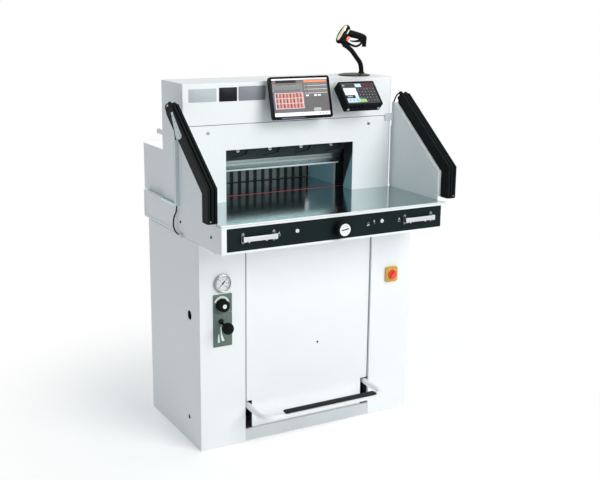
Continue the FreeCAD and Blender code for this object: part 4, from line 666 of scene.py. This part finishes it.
def make_scanner():
    (bx0, _), _, (bz0, bz1) = span("scanner_stand")
    base = Piece("scanner_stand_dressed", "machine")
    radius = 64
    centre_x = bx0 + radius
    base.turned([(0, bz0), (radius - 1, bz0), (radius, bz0 + 1.5), (radius - 1, bz0 + 4), (50, bz0 + 7),
                 (20, bz0 + 9.6), (0, bz0 + 10)], OLIVE, (centre_x, 0), 64)
    neck_x = centre_x + 34
    base.turned([(0, bz0 + 8), (13, bz0 + 8), (12, bz0 + 12), (8.5, bz0 + 14), (0, bz0 + 14)], BLACK,
                (neck_x, 0), 32)
    base.pipe([(neck_x, 0, bz0 + 8), (neck_x, 0, bz0 + 42), (neck_x - 23, 0, bz0 + 68),
               (CUP_X + 29, 0, bz1 - 18), (CUP_X, 0, bz1 - 5)], [9.6, 9.4, 9.2, 9.2, 9.6], BLACK)
    base.turned([(0, -6), (9, -6), (11, -2), (11, 0), (0, 0)], BLACK, count=32,
                local=Matrix.Translation((CUP_X, 0, bz1)))
    base.done("black_plastic", "scanner_stand")
    head = Vector(HEAD_CENTRE)
    body = Piece("scanner_body_dressed", "hand_scanner")
    body.egg(head, EGG_AXIS, 42, 17.6, GLOSS)
    front = Vector((-EGG_AXIS.z, 0, EGG_AXIS.x))
    # The scan window, its cream colour a painted reflection
    body.egg(head + front * 4.6 - Vector((0, 3.4, 0)), EGG_AXIS, 37, 12.4, WINDOW_HIGHLIGHT, 2.6)
    body.egg(head - front * 2.4 - Vector((0, 3, 0)), EGG_AXIS, 40.5, 16.2, GLOSS, 3)
    # Painted highlight: a small light-grey egg for the grey oval of light on the head's right side
    body.egg(head - front * 5 + EGG_AXIS * 14 - Vector((0, 16, 0)), EGG_AXIS, 13, 4, FITTING, 2)
    grip = ((6, 8), (52, -2), (100, -13), (100, -20), (100, -50)), (15, 14.5, 12, 9.6, 8.4)
    loop = ((12, -28), (48, -48), (74, -47), (90, -32), (98, -14)), (5, 4.6, 4.4, 4.4, 5)
    web = ((36, -26), (62, -32), (90, -22)), (2.8, 3.4, 8)
    cup = CUP_X - head.x
    stub = ((cup, -34.6), (cup, -20), (cup - 4, -8)), (9, 10, 12)
    for route, radii in (grip, loop, web, stub):
        body.pipe([head + Vector((x, 0, z)) for x, z in route], radii, GLOSS)
    body.done("gloss_black", "scanner_body")
    (x0, x1), (y0, y1), (z0, z1) = span("scanner_trigger")
    trigger = Piece("scanner_trigger_dressed", "trigger", panel((0, y0, 0)))
    trigger.prism([(x0 - 1, z1), (x1, z1), (x1 - 1, z1 - 8), (x0 + 1, z0 - 3), (x0 - 8, z0 - 1),
                   (x0 - 6, z1 - 7)], (y0 - y1 - 4, 4), ORANGE, edge=2.5)
    trigger.done("trigger_orange", "scanner_trigger")


# Fascia: hand wheel, push buttons, cut bars and printed signs
def make_wheel():
    (x0, x1), (y0, _), (z0, z1) = span("hand_wheel")
    radius = (x1 - x0) / 2
    depth = FASCIA_FACE - y0
    piece = Piece("hand_wheel_dressed", "gauge_wheel", panel((0, FASCIA_FACE, middle((z0, z1)))))
    back = [(0, 1), (radius - 3, 1), (radius - 2, 4), (radius - 6, 8), (radius - 6, 11), (0, 11)]
    piece.turned(back, BLACK, count=64)
    piece.prism(ring(radius - 0.7, 144, 0.7, 36), (9, depth - 2), BLACK, edge=2.5)
    piece.turned([(0, depth - 1.2), (23.4, depth - 1.2), (23.8, depth - 2.2)], BLACK_MARK, count=64)
    piece.turned([(0, depth - 0.3), (21.6, depth - 0.3), (22.4, depth - 1.4)], MARK, count=64)
    wedge = [(-15, -3), (14, 1), (14.5, 6), (-15, 0.5)]
    piece.prism(wedge, (depth - 1, depth), BLACK_MARK)
    for start in range(35, 150, 24):
        band = arc(15.5, start, start + 13, 3) + arc(13.2, start + 13, start, 3)
        piece.prism(band, (depth - 1, depth), PALE_MARK)
    piece.rod(6, -12, 2, BRIGHT)
    piece.done("black_plastic", "hand_wheel")


def make_buttons():
    for side, _ in SIDES:
        place, reach = face_of("push_button_" + side, FASCIA_FACE)
        collar = Piece("button_ring_" + side, "machine", place)
        collar.turned([(8.1, 0), (11, 0), (11, 0.8), (10.2, 1.8), (9, 2), (8.1, 1.2), (8.1, 0)], DARK)
        collar.done("bright_metal")
        cap = Piece("push_button_dressed_" + side, f"{side}_button", place)
        cap.turned([(6.8, reach - 1.4), (7.9, reach - 1.8), (7.9, reach - 2.7), (5.8, reach - 2.8), (5.8, -9),
                    (0, -9)], DARK)
        cap.turned([(0, reach - 0.6), (3, reach - 0.5), (5.6, reach), (6.6, reach - 0.5), (6.8, reach - 1.6),
                    (0, reach - 1.8)], MARK)
        dot = [(1.6, reach - 0.6), (2.8, reach - 0.2), (2.3, reach - 0.1), (1.3, reach - 0.2)]
        cap.turned(dot, PALE_MARK)
        cap.done("bright_metal", "push_button_" + side)


END_BLOCK = 11
OVAL_HALF = 13


def make_cut_bars():
    mounts = Piece("cut_bar_mounts_dressed", "machine", panel((0, FASCIA_FACE, 0)))
    for side, _ in SIDES:
        (x0, x1), (y0, _), (z0, z1) = span("cut_bar_" + side)
        rise = middle((z0, z1))
        front = FASCIA_FACE - y0
        bar = Piece("cut_bar_dressed_" + side, f"{side}_cut_bar", panel((0, FASCIA_FACE, rise)))
        half = (z1 - z0) / 2
        bar.slab((x0 + 8, x1 - 8), (-half + 0.8, half - 0.8), (front - 7.4, front - 0.6), BRIGHT, 0, 1.6)
        bar.slab((x0 + 8, x1 - 8), (-1.2, 1.2), (front - 2, front - 0.2), SATIN)
        for place in (x0, x1 - END_BLOCK):
            bar.slab((place, place + END_BLOCK), (-half, half), (front - 8, front), BRIGHT, 1.5, 1.2)
        for place in (x0 + 22, x0 + 88):
            below = Matrix.Translation((place, 1 - half, front - 4)) @ turned_by(90, "X")
            bar.turned([(0, 0), (3, 0), (3, 2.4), (2, 4), (0, 4)], BRIGHT, count=20, local=below)
        for place in (x0 + 6, x1 - 6):
            bar.rod(4, -9, front - 8, BRIGHT, (place, 0), 20)
            for radius, level, mat in ((6, 2.4, RING), (4.6, 2.7, DARK)):
                upper = arc(radius, 0, 180, 8, (place, rise + OVAL_HALF))
                lower = arc(radius, 180, 360, 8, (place, rise - OVAL_HALF))
                mounts.prism(upper + lower, (0, level), mat, edge=0.6)
            for height in (rise - OVAL_HALF, rise + OVAL_HALF):
                mounts.screw((place, height), 2.6, 2.6, SATIN)
        bar.done("bright_metal", "cut_bar_" + side)
    mounts.done("bright_metal", "cut_bar_mounts")


def make_fascia_signs():
    """Generic figures: open triangles with a dot, and short bars."""
    signs = Piece("fascia_signs", "machine", panel((0, FASCIA_FACE, 0)))
    level = (-0.2, 0.25)
    rise = TABLE_TOP - 48

    def line(u0, v0, u1, v1, width, mat=PALE_MARK):
        length = hypot(u1 - u0, v1 - v0)
        middle_u, middle_v = (u0 + u1) / 2, (v0 + v1) / 2
        signs.slab((middle_u - length / 2, middle_u + length / 2),
                   (middle_v - width / 2, middle_v + width / 2), level, mat,
                   turn=degrees(atan2(v1 - v0, u1 - u0)))

    for u in (-246, 254):
        line(u - 5, rise - 6, u + 6, rise - 6, 1.4)
        line(u - 4, rise - 3, u + 1, rise + 9, 1.5)
        line(u + 5, rise - 3, u + 1, rise + 9, 1.5)
        signs.prism(ring(2.2, 16, at=(u + 1, rise + 3)), level, MARK)
    line(115, rise - 7, 125, rise - 5, 3.2, MARK)
    line(116, rise + 1, 125, rise + 3, 1.6)
    line(143, rise + 4, 147, rise + 10, 2.6, MARK)
    line(147, rise + 10, 147, rise - 5, 1.4)
    signs.done("trim_grey")


# Stand front: gauge, control plates, knob, lever and main switch, with places in X and Z
PLATE_WIDTH = 75
JOINT = 526.5
KNOB_AT = (-372, 560)
LEVER_AT = (-374, 496)
LEVER_DEPTH = 14
BALL_RADIUS = 22


def make_gauge():
    place, _ = face_of("pressure_gauge", STAND_FRONT)
    case = Piece("pressure_gauge_dressed", "machine", place)
    case.turned([(0, -25), (32, -25), (32, 0), (35, 0), (35, 2.5), (34, 4.2), (32.6, 4.6), (32.2, 5.6),
                 (32.6, 9.5), (31.6, 11.4), (29.8, 12), (28.4, 11.2), (28, 6), (0, 6)], RING, count=72)
    case.turned([(0, 6.4), (28.2, 6.4), (28.2, 5.8)], DIAL, count=72)
    for index in range(31):
        inner, width = (20.5, 0.8) if index % 5 == 0 else (23, 0.5)
        tick = [(inner, width), (inner, -width), (25.5, -width), (25.5, width)]
        case.prism(tick, (6.3, 6.55), BLACK_MARK, local=turned_by(225 - 9 * index))
    for index in range(7):
        angle = radians(225 - 45 * index)
        case.number(str(index * 50), (16 * cos(angle), 16 * sin(angle)), 5.6, 6.5, BLACK_MARK)
    case.done("bright_metal", "pressure_gauge")
    needle = Piece("gauge_needle_dressed", "needle", place)
    needle.prism([(24.5, 0), (4, 0.9), (-3, 1.9), (-11, 1.9), (-11, -1.9), (-3, -1.9), (4, -0.9)], (7.6, 8.6),
                 BLACK_MARK, local=turned_by(225))
    needle.turned([(0, 9.4), (2.4, 9.4), (3, 8.6), (3, 7), (0, 7)], BLACK_MARK, count=24)
    needle.done("gloss_black", "gauge_needle")


def make_control_plates():
    piece = Piece("control_plates_dressed", "machine", panel((0, STAND_FRONT, 0)))
    (left, _), _, (z0, z1) = span("stand_control_plates")
    right = left + PLATE_WIDTH
    thick = 2
    piece.slab((left, right), (z0, JOINT - 0.5), (0, thick), GREEN, 2, 0.5)
    piece.slab((left, right), (JOINT + 0.5, z1 - 12), (0, thick), GREEN, 2, 0.5)
    for u in (left + 3.5, right - 13.5):
        piece.slab((u, u + 10), (JOINT + 1.5, JOINT + 3.3), (thick - 0.5, thick + 0.2), PALE_GREEN)
    printed = (thick - 0.5, thick + 0.25)
    crescent = arc(31, 160, 15, 20, (KNOB_AT[0] + 1, KNOB_AT[1] + 1))
    crescent += arc(25.5, 22, 155, 20, (KNOB_AT[0] + 1, KNOB_AT[1] - 3))
    piece.prism(crescent, printed, MINT)
    piece.turned([(24, thick), (24, thick + 0.3), (25, thick + 0.3), (25, thick)], DARK_GREEN, KNOB_AT)
    # The lever's round boot and the curved figure under it
    piece.turned([(0, thick), (9.5, thick), (9.5, thick + 1), (7, thick + 3.5), (5.6, thick + 8),
                  (0, thick + 8)], RUBBER, LEVER_AT, 32)
    piece.turned([(9.5, thick), (9.5, thick + 0.3), (12, thick + 0.3), (12, thick)], DARK_GREEN, LEVER_AT)
    legs = ([(-3, -20), (0, -20), (3, -48), (12, -72), (14, -75), (3, -76), (-1, -60)],
            [(-11, -47), (-8, -47), (-6, -80), (-13, -80), (-13, -62)])
    for outline in legs:
        piece.prism([(LEVER_AT[0] + u, LEVER_AT[1] + v) for u, v in outline], printed, MINT)
    for u in (-12, 12):
        piece.slab((LEVER_AT[0] + u - 3, LEVER_AT[0] + u + 3), (487, 505), (-23, -2), DARK)
    # The main switch's yellow housing
    piece.place, _ = face_of("main_switch_knob", STAND_FRONT)
    piece.slab((-26.5, 26.5), (-29.5, 29.5), (0, 11.6), YELLOW, 5, 2.5)
    piece.slab((-22, 22), (-25, 25), (11, 12), YELLOW, 3, 0.6)
    for at in ((-19, -22), (19, 22), (0, 23.5)):
        piece.turned([(0, 12.4), (1.8, 12.4), (2.2, 11.8)], DARK_YELLOW, at, 20)
    piece.done("plate_green", "stand_control_plates")


def make_knob():
    place, front = face_of("pressure_knob", STAND_FRONT)
    piece = Piece("pressure_knob_dressed", "pressure_dial", place)
    piece.turned([(0, 2.3), (22.6, 2.3), (23, 4), (22.4, 9), (19, 11), (0, 11)], BLACK)
    piece.prism(ring(21, 96, 1.7, 8), (9, front - 3), BLACK, edge=4, steps=3)
    piece.turned([(0, front - 0.6), (14, front - 1.2), (17, front - 3)], BLACK)
    piece.turned([(0, front), (7.6, front - 0.1), (8.2, front - 1.2)], MARK)
    piece.turned([(0, front + 0.2), (1.6, front + 0.1), (1.8, front - 0.4)], PALE_MARK, count=20)
    piece.rod(6, -26, 3, DARK, count=20)
    piece.done("black_plastic", "pressure_knob")


def make_lever():
    _, (y0, _), (z0, _) = span("mode_lever")
    centre = Vector((LEVER_AT[0], y0 + BALL_RADIUS, z0 + BALL_RADIUS))
    pivot = Vector((LEVER_AT[0], STAND_FRONT + LEVER_DEPTH, LEVER_AT[1]))
    out = centre - pivot
    length = out.length
    place = panel(pivot, Vector((1, 0, 0)).cross(out) * -1, out)
    piece = Piece("mode_lever_dressed", "mode_selector", place)
    ball = arc(BALL_RADIUS, -66, 90, 26, (0, length))
    piece.turned([(0, 0), (5, 0), (4.6, length - 26), (7.6, length - 24), (8.4, length - 20.5)] + ball, BLACK)
    piece.rod(5, -30, 30, DARK, local=turned_by(90, "Y"))
    piece.done("black_plastic", "mode_lever")


def make_switch_knob():
    place, front = face_of("main_switch_knob", STAND_FRONT)
    piece = Piece("main_switch_dressed", "main_switch", place)
    disc = [(0, front - 13), (19, front - 13), (18.4, front - 8.5), (17.6, front - 7.5), (0, front - 7)]
    piece.turned(disc, SIGNAL)
    piece.slab((-7.5, 7.5), (-17.8, 17.8), (front - 9, front), SIGNAL, 5, 2.2, turn=-32)
    piece.slab((-1, 1), (8, 15.5), (front - 1, front + 0.2), SIGNAL_DARK)
    piece.rod(6, -6, front - 12, DARK, count=20)
    piece.done("switch_red", "main_switch_knob")


# Knife bevel with a painted highlight on its edge and painted shade over its end, its bolts, and painted
# highlights on the side lays' edges with painted shade in the gaps beside them
CHEEK_INSIDE = 330


def make_knife_dressing():
    (x0, x1), (y0, y1), (z0, z1) = span("knife")
    depth, rise = y1 - y0, 24
    bevel = Piece("knife_bevel", "knife_carriage", panel((0, y1, z0), (0, -depth, rise), (0, -rise, -depth)))
    # The ground edge: partly its own bright steel, partly a painted highlight
    bevel.slab((x0, x1), (0.2, 7), (0.02, 0.3), EDGE_HIGHLIGHT, 0, 0.1)
    # Painted shade: a dark slab over the knife's end, which falls in shadow
    bevel.place = panel((x1, 0, 0), (0, 0, 1), (1, 0, 0))
    bevel.slab((y0 - 0.3, y1), (z0 + 8, z1), (-2, 0.3), DARK)
    bevel.done("tool_steel")
    bolts = Piece("knife_bolts_dressed", "knife_carriage")
    (bx0, bx1), (_, by1), (bz0, bz1) = span("knife_bolts")
    bolts.place = panel((0, by1, middle((bz0, bz1))))
    radius = (bz1 - bz0) / 2
    for index in range(4):
        u = bx0 + radius + (bx1 - bx0 - 2 * radius) * index / 3
        bolts.screw((u, 0), radius - 1, 0)
        bolts.rod(radius + 2, 0, 1, DARK, (u, 0), 32)
    bolts.done("bright_metal", "knife_bolts")
    (lx0, lx1), (ly0, _), (lz0, lz1) = span("side_lays")
    lay_light_and_shade = Piece("side_lay_edge_light_and_gap_shade", "machine", panel((0, ly0, 0)))
    # A painted highlight on each lay's front edge, and a dark sheet of painted shade in the gap out to the
    # opening's side
    for inner, outer, cheek in ((lx0 + 6, lx0, -CHEEK_INSIDE), (lx1 - 6, lx1, CHEEK_INSIDE)):
        lay_light_and_shade.slab((inner, outer), (lz0, lz1), (-1.5, 1), EDGE_HIGHLIGHT, 0, 0.8)
        lay_light_and_shade.slab((outer, cheek), (lz0, lz1), (3.6, 5.2), DARK)
    lay_light_and_shade.done("trim_grey")
    # Painted shade: dark sheets fill the gap under the comb and the gaps between the comb and the side lays,
    # which lie in shadow
    (cx0, cx1), (_, cy1), (cz0, cz1) = span("backgauge_comb")
    comb_gap_shade = Piece("comb_gap_shade_sheet", "backgauge", panel((0, cy1 - 1, TABLE_TOP)))
    comb_gap_shade.slab((cx0, cx1), (0.6, cz0 - TABLE_TOP + 8), (-1.6, 0), RUBBER)
    for inner, outer in ((lx0 + 6, cx0), (cx1, lx1 - 6)):
        comb_gap_shade.slab((inner, outer), (0.6, cz1 - TABLE_TOP), (-1.6, 0), DARK)
    comb_gap_shade.done("curtain_black")


# Light curtains: end caps, the leads' boots, small screws and the left one's outer plate
SLOPE_RUN = 301
SLOPE_RISE = 232
# The outer plate's outline, as places in front of the knife and above the table
CURTAIN_PLATE = ((152, 350), (166, 353), (244, 281), (238, 270), (214, 263), (194, 268), (158, 328))
CURTAIN_PLATE_HOLES = ((168, 338), (184, 321), (200, 304), (216, 288), (229, 277))
CURTAIN_WIRE = ((150, 344), (154, 345), (194, 267), (190, 265))


def make_curtain_ends():
    along = (0, SLOPE_RUN, SLOPE_RISE)
    normal = Vector((0, -SLOPE_RISE, SLOPE_RUN)).normalized()
    for side, sign in SIDES:
        (x0, x1), (y0, y1), (z0, z1) = span("light_curtain_" + side)
        half = (x1 - x0) / 2 + 0.4
        depth = 23
        top = (middle((x0, x1)), y1 + depth * normal.y, z1 - depth * normal.z)
        caps = Piece("curtain_caps_" + side, "machine")
        foot = panel((middle((x0, x1)), y0 + depth, z0), (0, -1, 0), (0, 0, -1))
        for caps.place in (foot, panel(top, normal, along)):
            caps.slab((-half, half), (-depth - 0.4, depth + 0.4), (-5, 1), BLACK, 6, 1)
        for u, v, radius in ((5, -11, 12), (-8, 12, 9)):
            caps.turned([(0, -2), (radius, -2), (radius, radius), (radius - 2, radius + 5),
                         (radius - 6, radius + 7), (0, radius + 7)], BLACK, (u, v), 32)
        caps.place = panel((middle((x0, x1)), y0, 0))
        caps.screw((sign * 8, z0 + 8), 2.4, 0, SATIN)
        caps.place = Matrix.Scale(MM, 4)
        start, crest = [Vector((sign * x, y, z)) for x, y, z in LEADS[side][0][2][:2]]
        caps.pipe([start, start.lerp(crest, 0.6), crest], (11, 10, 6), BLACK)
        if sign < 0:
            caps.place = panel((x0, 0, TABLE_TOP), (0, 0, 1), (-1, 0, 0))
            caps.prism(CURTAIN_PLATE, (-1, 0.4), FITTING)
            caps.prism(CURTAIN_WIRE, (-1, 0.6), BLACK)
            # The plate's holes, drawn as flat dark discs of painted shade
            for u, v in CURTAIN_PLATE_HOLES:
                caps.turned([(0, 0.5), (2.4, 0.5), (2.4, 0.2)], DARK, (u, v), 16)
        caps.done("curtain_black")


# Foot pedal's ribbed tread
def make_tread():
    (x0, x1), (y0, y1), (z0, z1) = span("pedal_tread")
    piece = Piece("pedal_tread_dressed", "pedal", panel((0, middle((y0, y1)), 0), (0, 1, 0), (0, 0, 1)))
    half = (y1 - y0) / 2
    piece.slab((x0, x1), (-half, half), (z0, z1 - 1.6), TREAD, 6, 1)
    ribs = 5
    pitch = (2 * half - 4) / ribs
    for index in range(ribs):
        low = -half + 2 + pitch * index
        piece.slab((x0 + 4, x1 - 4), (low + 0.8, low + pitch - 0.8), (z1 - 2, z1), TREAD, 1, 0.7)
    piece.done("tread_rubber", "pedal_tread")


# White-painted edges of the rear table, and painted light and shade on the insides of the front opening
OPENING_HALF = 275
OPENING_HEIGHT = 193


def make_edges():
    (_, x1), _, (z0, z1) = span("rear_table_plate")
    (_, wall_x), (wall_y, _), _ = span("rear_table_guard")
    back = span("machine_bed")[1][1]
    ledge = Piece("rear_table_edges", "machine", panel((0, 0, z1), (0, 1, 0), (0, 0, 1)))
    for u in ((-x1 - 0.3, -wall_x), (wall_x, x1 + 0.3)):
        ledge.slab(u, (wall_y, back + 0.3), (z0 - z1, 0.3), WHITE)
    ledge.done("painted_white")
    front, rear = (-y for y in span("head_lower_cover")[1])
    top, wide = OPENING_HEIGHT, front - rear
    for side, sign in SIDES:
        place = panel((sign * OPENING_HALF, 0, TABLE_TOP), out=(-sign, 0, 0))
        jamb = Piece("jamb_light_and_shade_" + side, "machine", place)
        # Painted shade: a dark sheet for the shadow on the upper part, and blue-grey for the lit lower part
        # below a slanted shadow line
        dark = ((rear, 1), (front - 1, 1), (front - 1, top - 1), (rear, top - 1))
        lit_part = ((rear + 1, 1), (front - 1, 1), (front - 1, 0.8 * top), (front - 0.1 * wide, 0.7 * top),
                (rear + 0.35 * wide, 0.32 * top), (rear + 1, 0.06 * top))
        for outline, level, mat in ((dark, 0.4, DARK), (lit_part, 0.8, LAY)):
            jamb.prism([(sign * u, v) for u, v in outline], (-0.2, level), mat)
        jamb.done("trim_grey")


# Screws of the covers and guards with rings of painted shade round the cover screws, the door's lock, painted
# shade in the door's side gaps, and blank badges
COVER_SCREW = (346, 260)
GUARD_SCREWS = (-103, -372)
DOOR_LOCK = (40, 347)
BADGES = (((-421, -313), (374, 421), BADGE), ((-302, -231), (373, 423), BLACK_MARK),
          ((-224, -114), (373, 425), BADGE_GREY))


def make_fixings():
    piece = Piece("cover_screws_dressed", "machine")
    for side, sign in SIDES:
        piece.place = panel((sign * COVER_SCREW[0], HEAD_FRONT + 3, TABLE_TOP + COVER_SCREW[1]))
        piece.screw((0, 0), 5, 0)
        # A grey ring of painted shade round the screw head
        piece.turned([(0, 0.4), (6.8, 0.4), (6.8, 0)], GAP_SHADE, count=24)
        outside = span("guard_plate_" + side)[0][1 if sign < 0 else 0] + sign * GUARD_SHEET
        for back in GUARD_SCREWS:
            piece.place = panel((outside, back, TABLE_TOP - 54), (0, 0, 1), (sign, 0, 0))
            piece.screw((0, 0), 5, 0, DARK)
    (x0, x1), (door_face, _), (z0, z1) = span("front_panel")
    piece.place = panel((DOOR_LOCK[0], door_face, DOOR_LOCK[1]))
    piece.turned([(0, 0.6), (3, 1), (4.2, 0.6), (4.2, 0), (0, 0)], BLACK, count=24)
    piece.done("bright_metal", "cover_screws")
    # Painted shade: dark strips along the door's side edges for the shadow in its gaps
    door_shade = Piece("door_gap_shade", "machine", panel((0, door_face, 0)))
    for u in ((x0 - 0.8, x0 + 8.5), (x1 - 3.5, x1 + 0.8)):
        door_shade.slab(u, (z0 + 110, z1), (-1, 0.6), GAP_SHADE, 0, 0.3)
    door_shade.done("lead_rubber")
    badges = Piece("badge_plates_dressed", "machine", panel((0, HEAD_FRONT, TABLE_TOP)))
    for u, v, mat in BADGES:
        badges.slab(u, v, (0, 1.5), mat, 2, 0.5)
    badges.done("badge_grey", "badge_plates")


# Sensor leads, as the source routes them, and their glands
LEAD_DIAMETER = 5.6
GLAND = (469.8, -118, 798)
INLET = (200, 120)
LOWER_LEAD = ("lower", 0.160, ((469.8, -86, 905), (469.8, -86, 885), (469.8, -50, 849), (469.8, -50, 811),
                               (469.8, -86, 798), (469.8, -108, 798)))
# Each lead's length in metres and its route's control points on the right side
LEADS = {
    "left": (("upper", 0.221, ((494.3, -121, 1258.2), (494.3, -95.7, 1277.8), (490.3, -42, 1262.2),
                               (473.8, -27, 1222.2), (469.8, -86, 1178), (469.8, -86, 1144))), LOWER_LEAD),
    "right": (("upper", 0.174, ((491.3, -121, 1258.2), (491.3, -95.7, 1277.8), (487.3, -72, 1262.2),
                                (473.8, -72, 1222.2), (469.8, -86, 1178), (469.8, -86, 1144))), LOWER_LEAD),
}


def make_leads():
    for side, sign in SIDES:
        for name, length, route in LEADS[side]:
            points = [Vector((sign * x, y, z)) * MM for x, y, z in route]
            curve = tube(f"lead_{name}_{side}", points, [1] * len(points), LEAD_DIAMETER / 2 * MM, 16, 4)
            curve.materials.append(RUBBER)
            lead = linked(curve.name, curve)
            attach(lead, "machine")
            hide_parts("sensor_leads")
    glands = Piece("lead_glands", "machine")
    for side, sign in SIDES:
        glands.place = panel((sign * GLAND[0], *GLAND[1:]), (0, 0, 1), (0, 1, 0))
        glands.turned([(0, -10), (6, -10), (6.4, -8), (6.4, -2), (5.4, -1.6)], FITTING, count=24)
        glands.prism(ring(6.4, 6), (-2, 4), FITTING, edge=0.8)
        glands.turned([(5.2, 4), (5.6, 8), (4, 10), (2.9, 10.2)], FITTING, count=24)
    stand_back = span("rear_panel")[1][1]
    reach = span("sensor_leads")[1][1] - stand_back
    glands.place = panel((INLET[0], stand_back, INLET[1]), (0, 0, 1), (0, 1, 0))
    glands.rod(9.7, -20, 0, BLACK, count=32)
    glands.prism(ring(13, 6), (0, 6.2), BLACK, edge=1)
    outline = [(9.6, 6), (9.6, reach - 1.5), (8, reach), (5, reach), (4.6, reach - 4), (0, reach - 4)]
    glands.turned(outline, BLACK, count=32)
    glands.done("lead_rubber", "sensor_leads")


make_camera()
make_light()
make_floor()
for mat, groups in DRESS.items():
    for edge, names in groups.items():
        for name in names:
            dress(name, mat, edge)
make_leads()
make_monitor()
make_control_unit()
make_scanner()
make_wheel()
make_buttons()
make_cut_bars()
make_fascia_signs()
make_gauge()
make_control_plates()
make_knob()
make_lever()
make_switch_knob()
make_knife_dressing()
make_curtain_ends()
make_tread()
make_edges()
make_fixings()
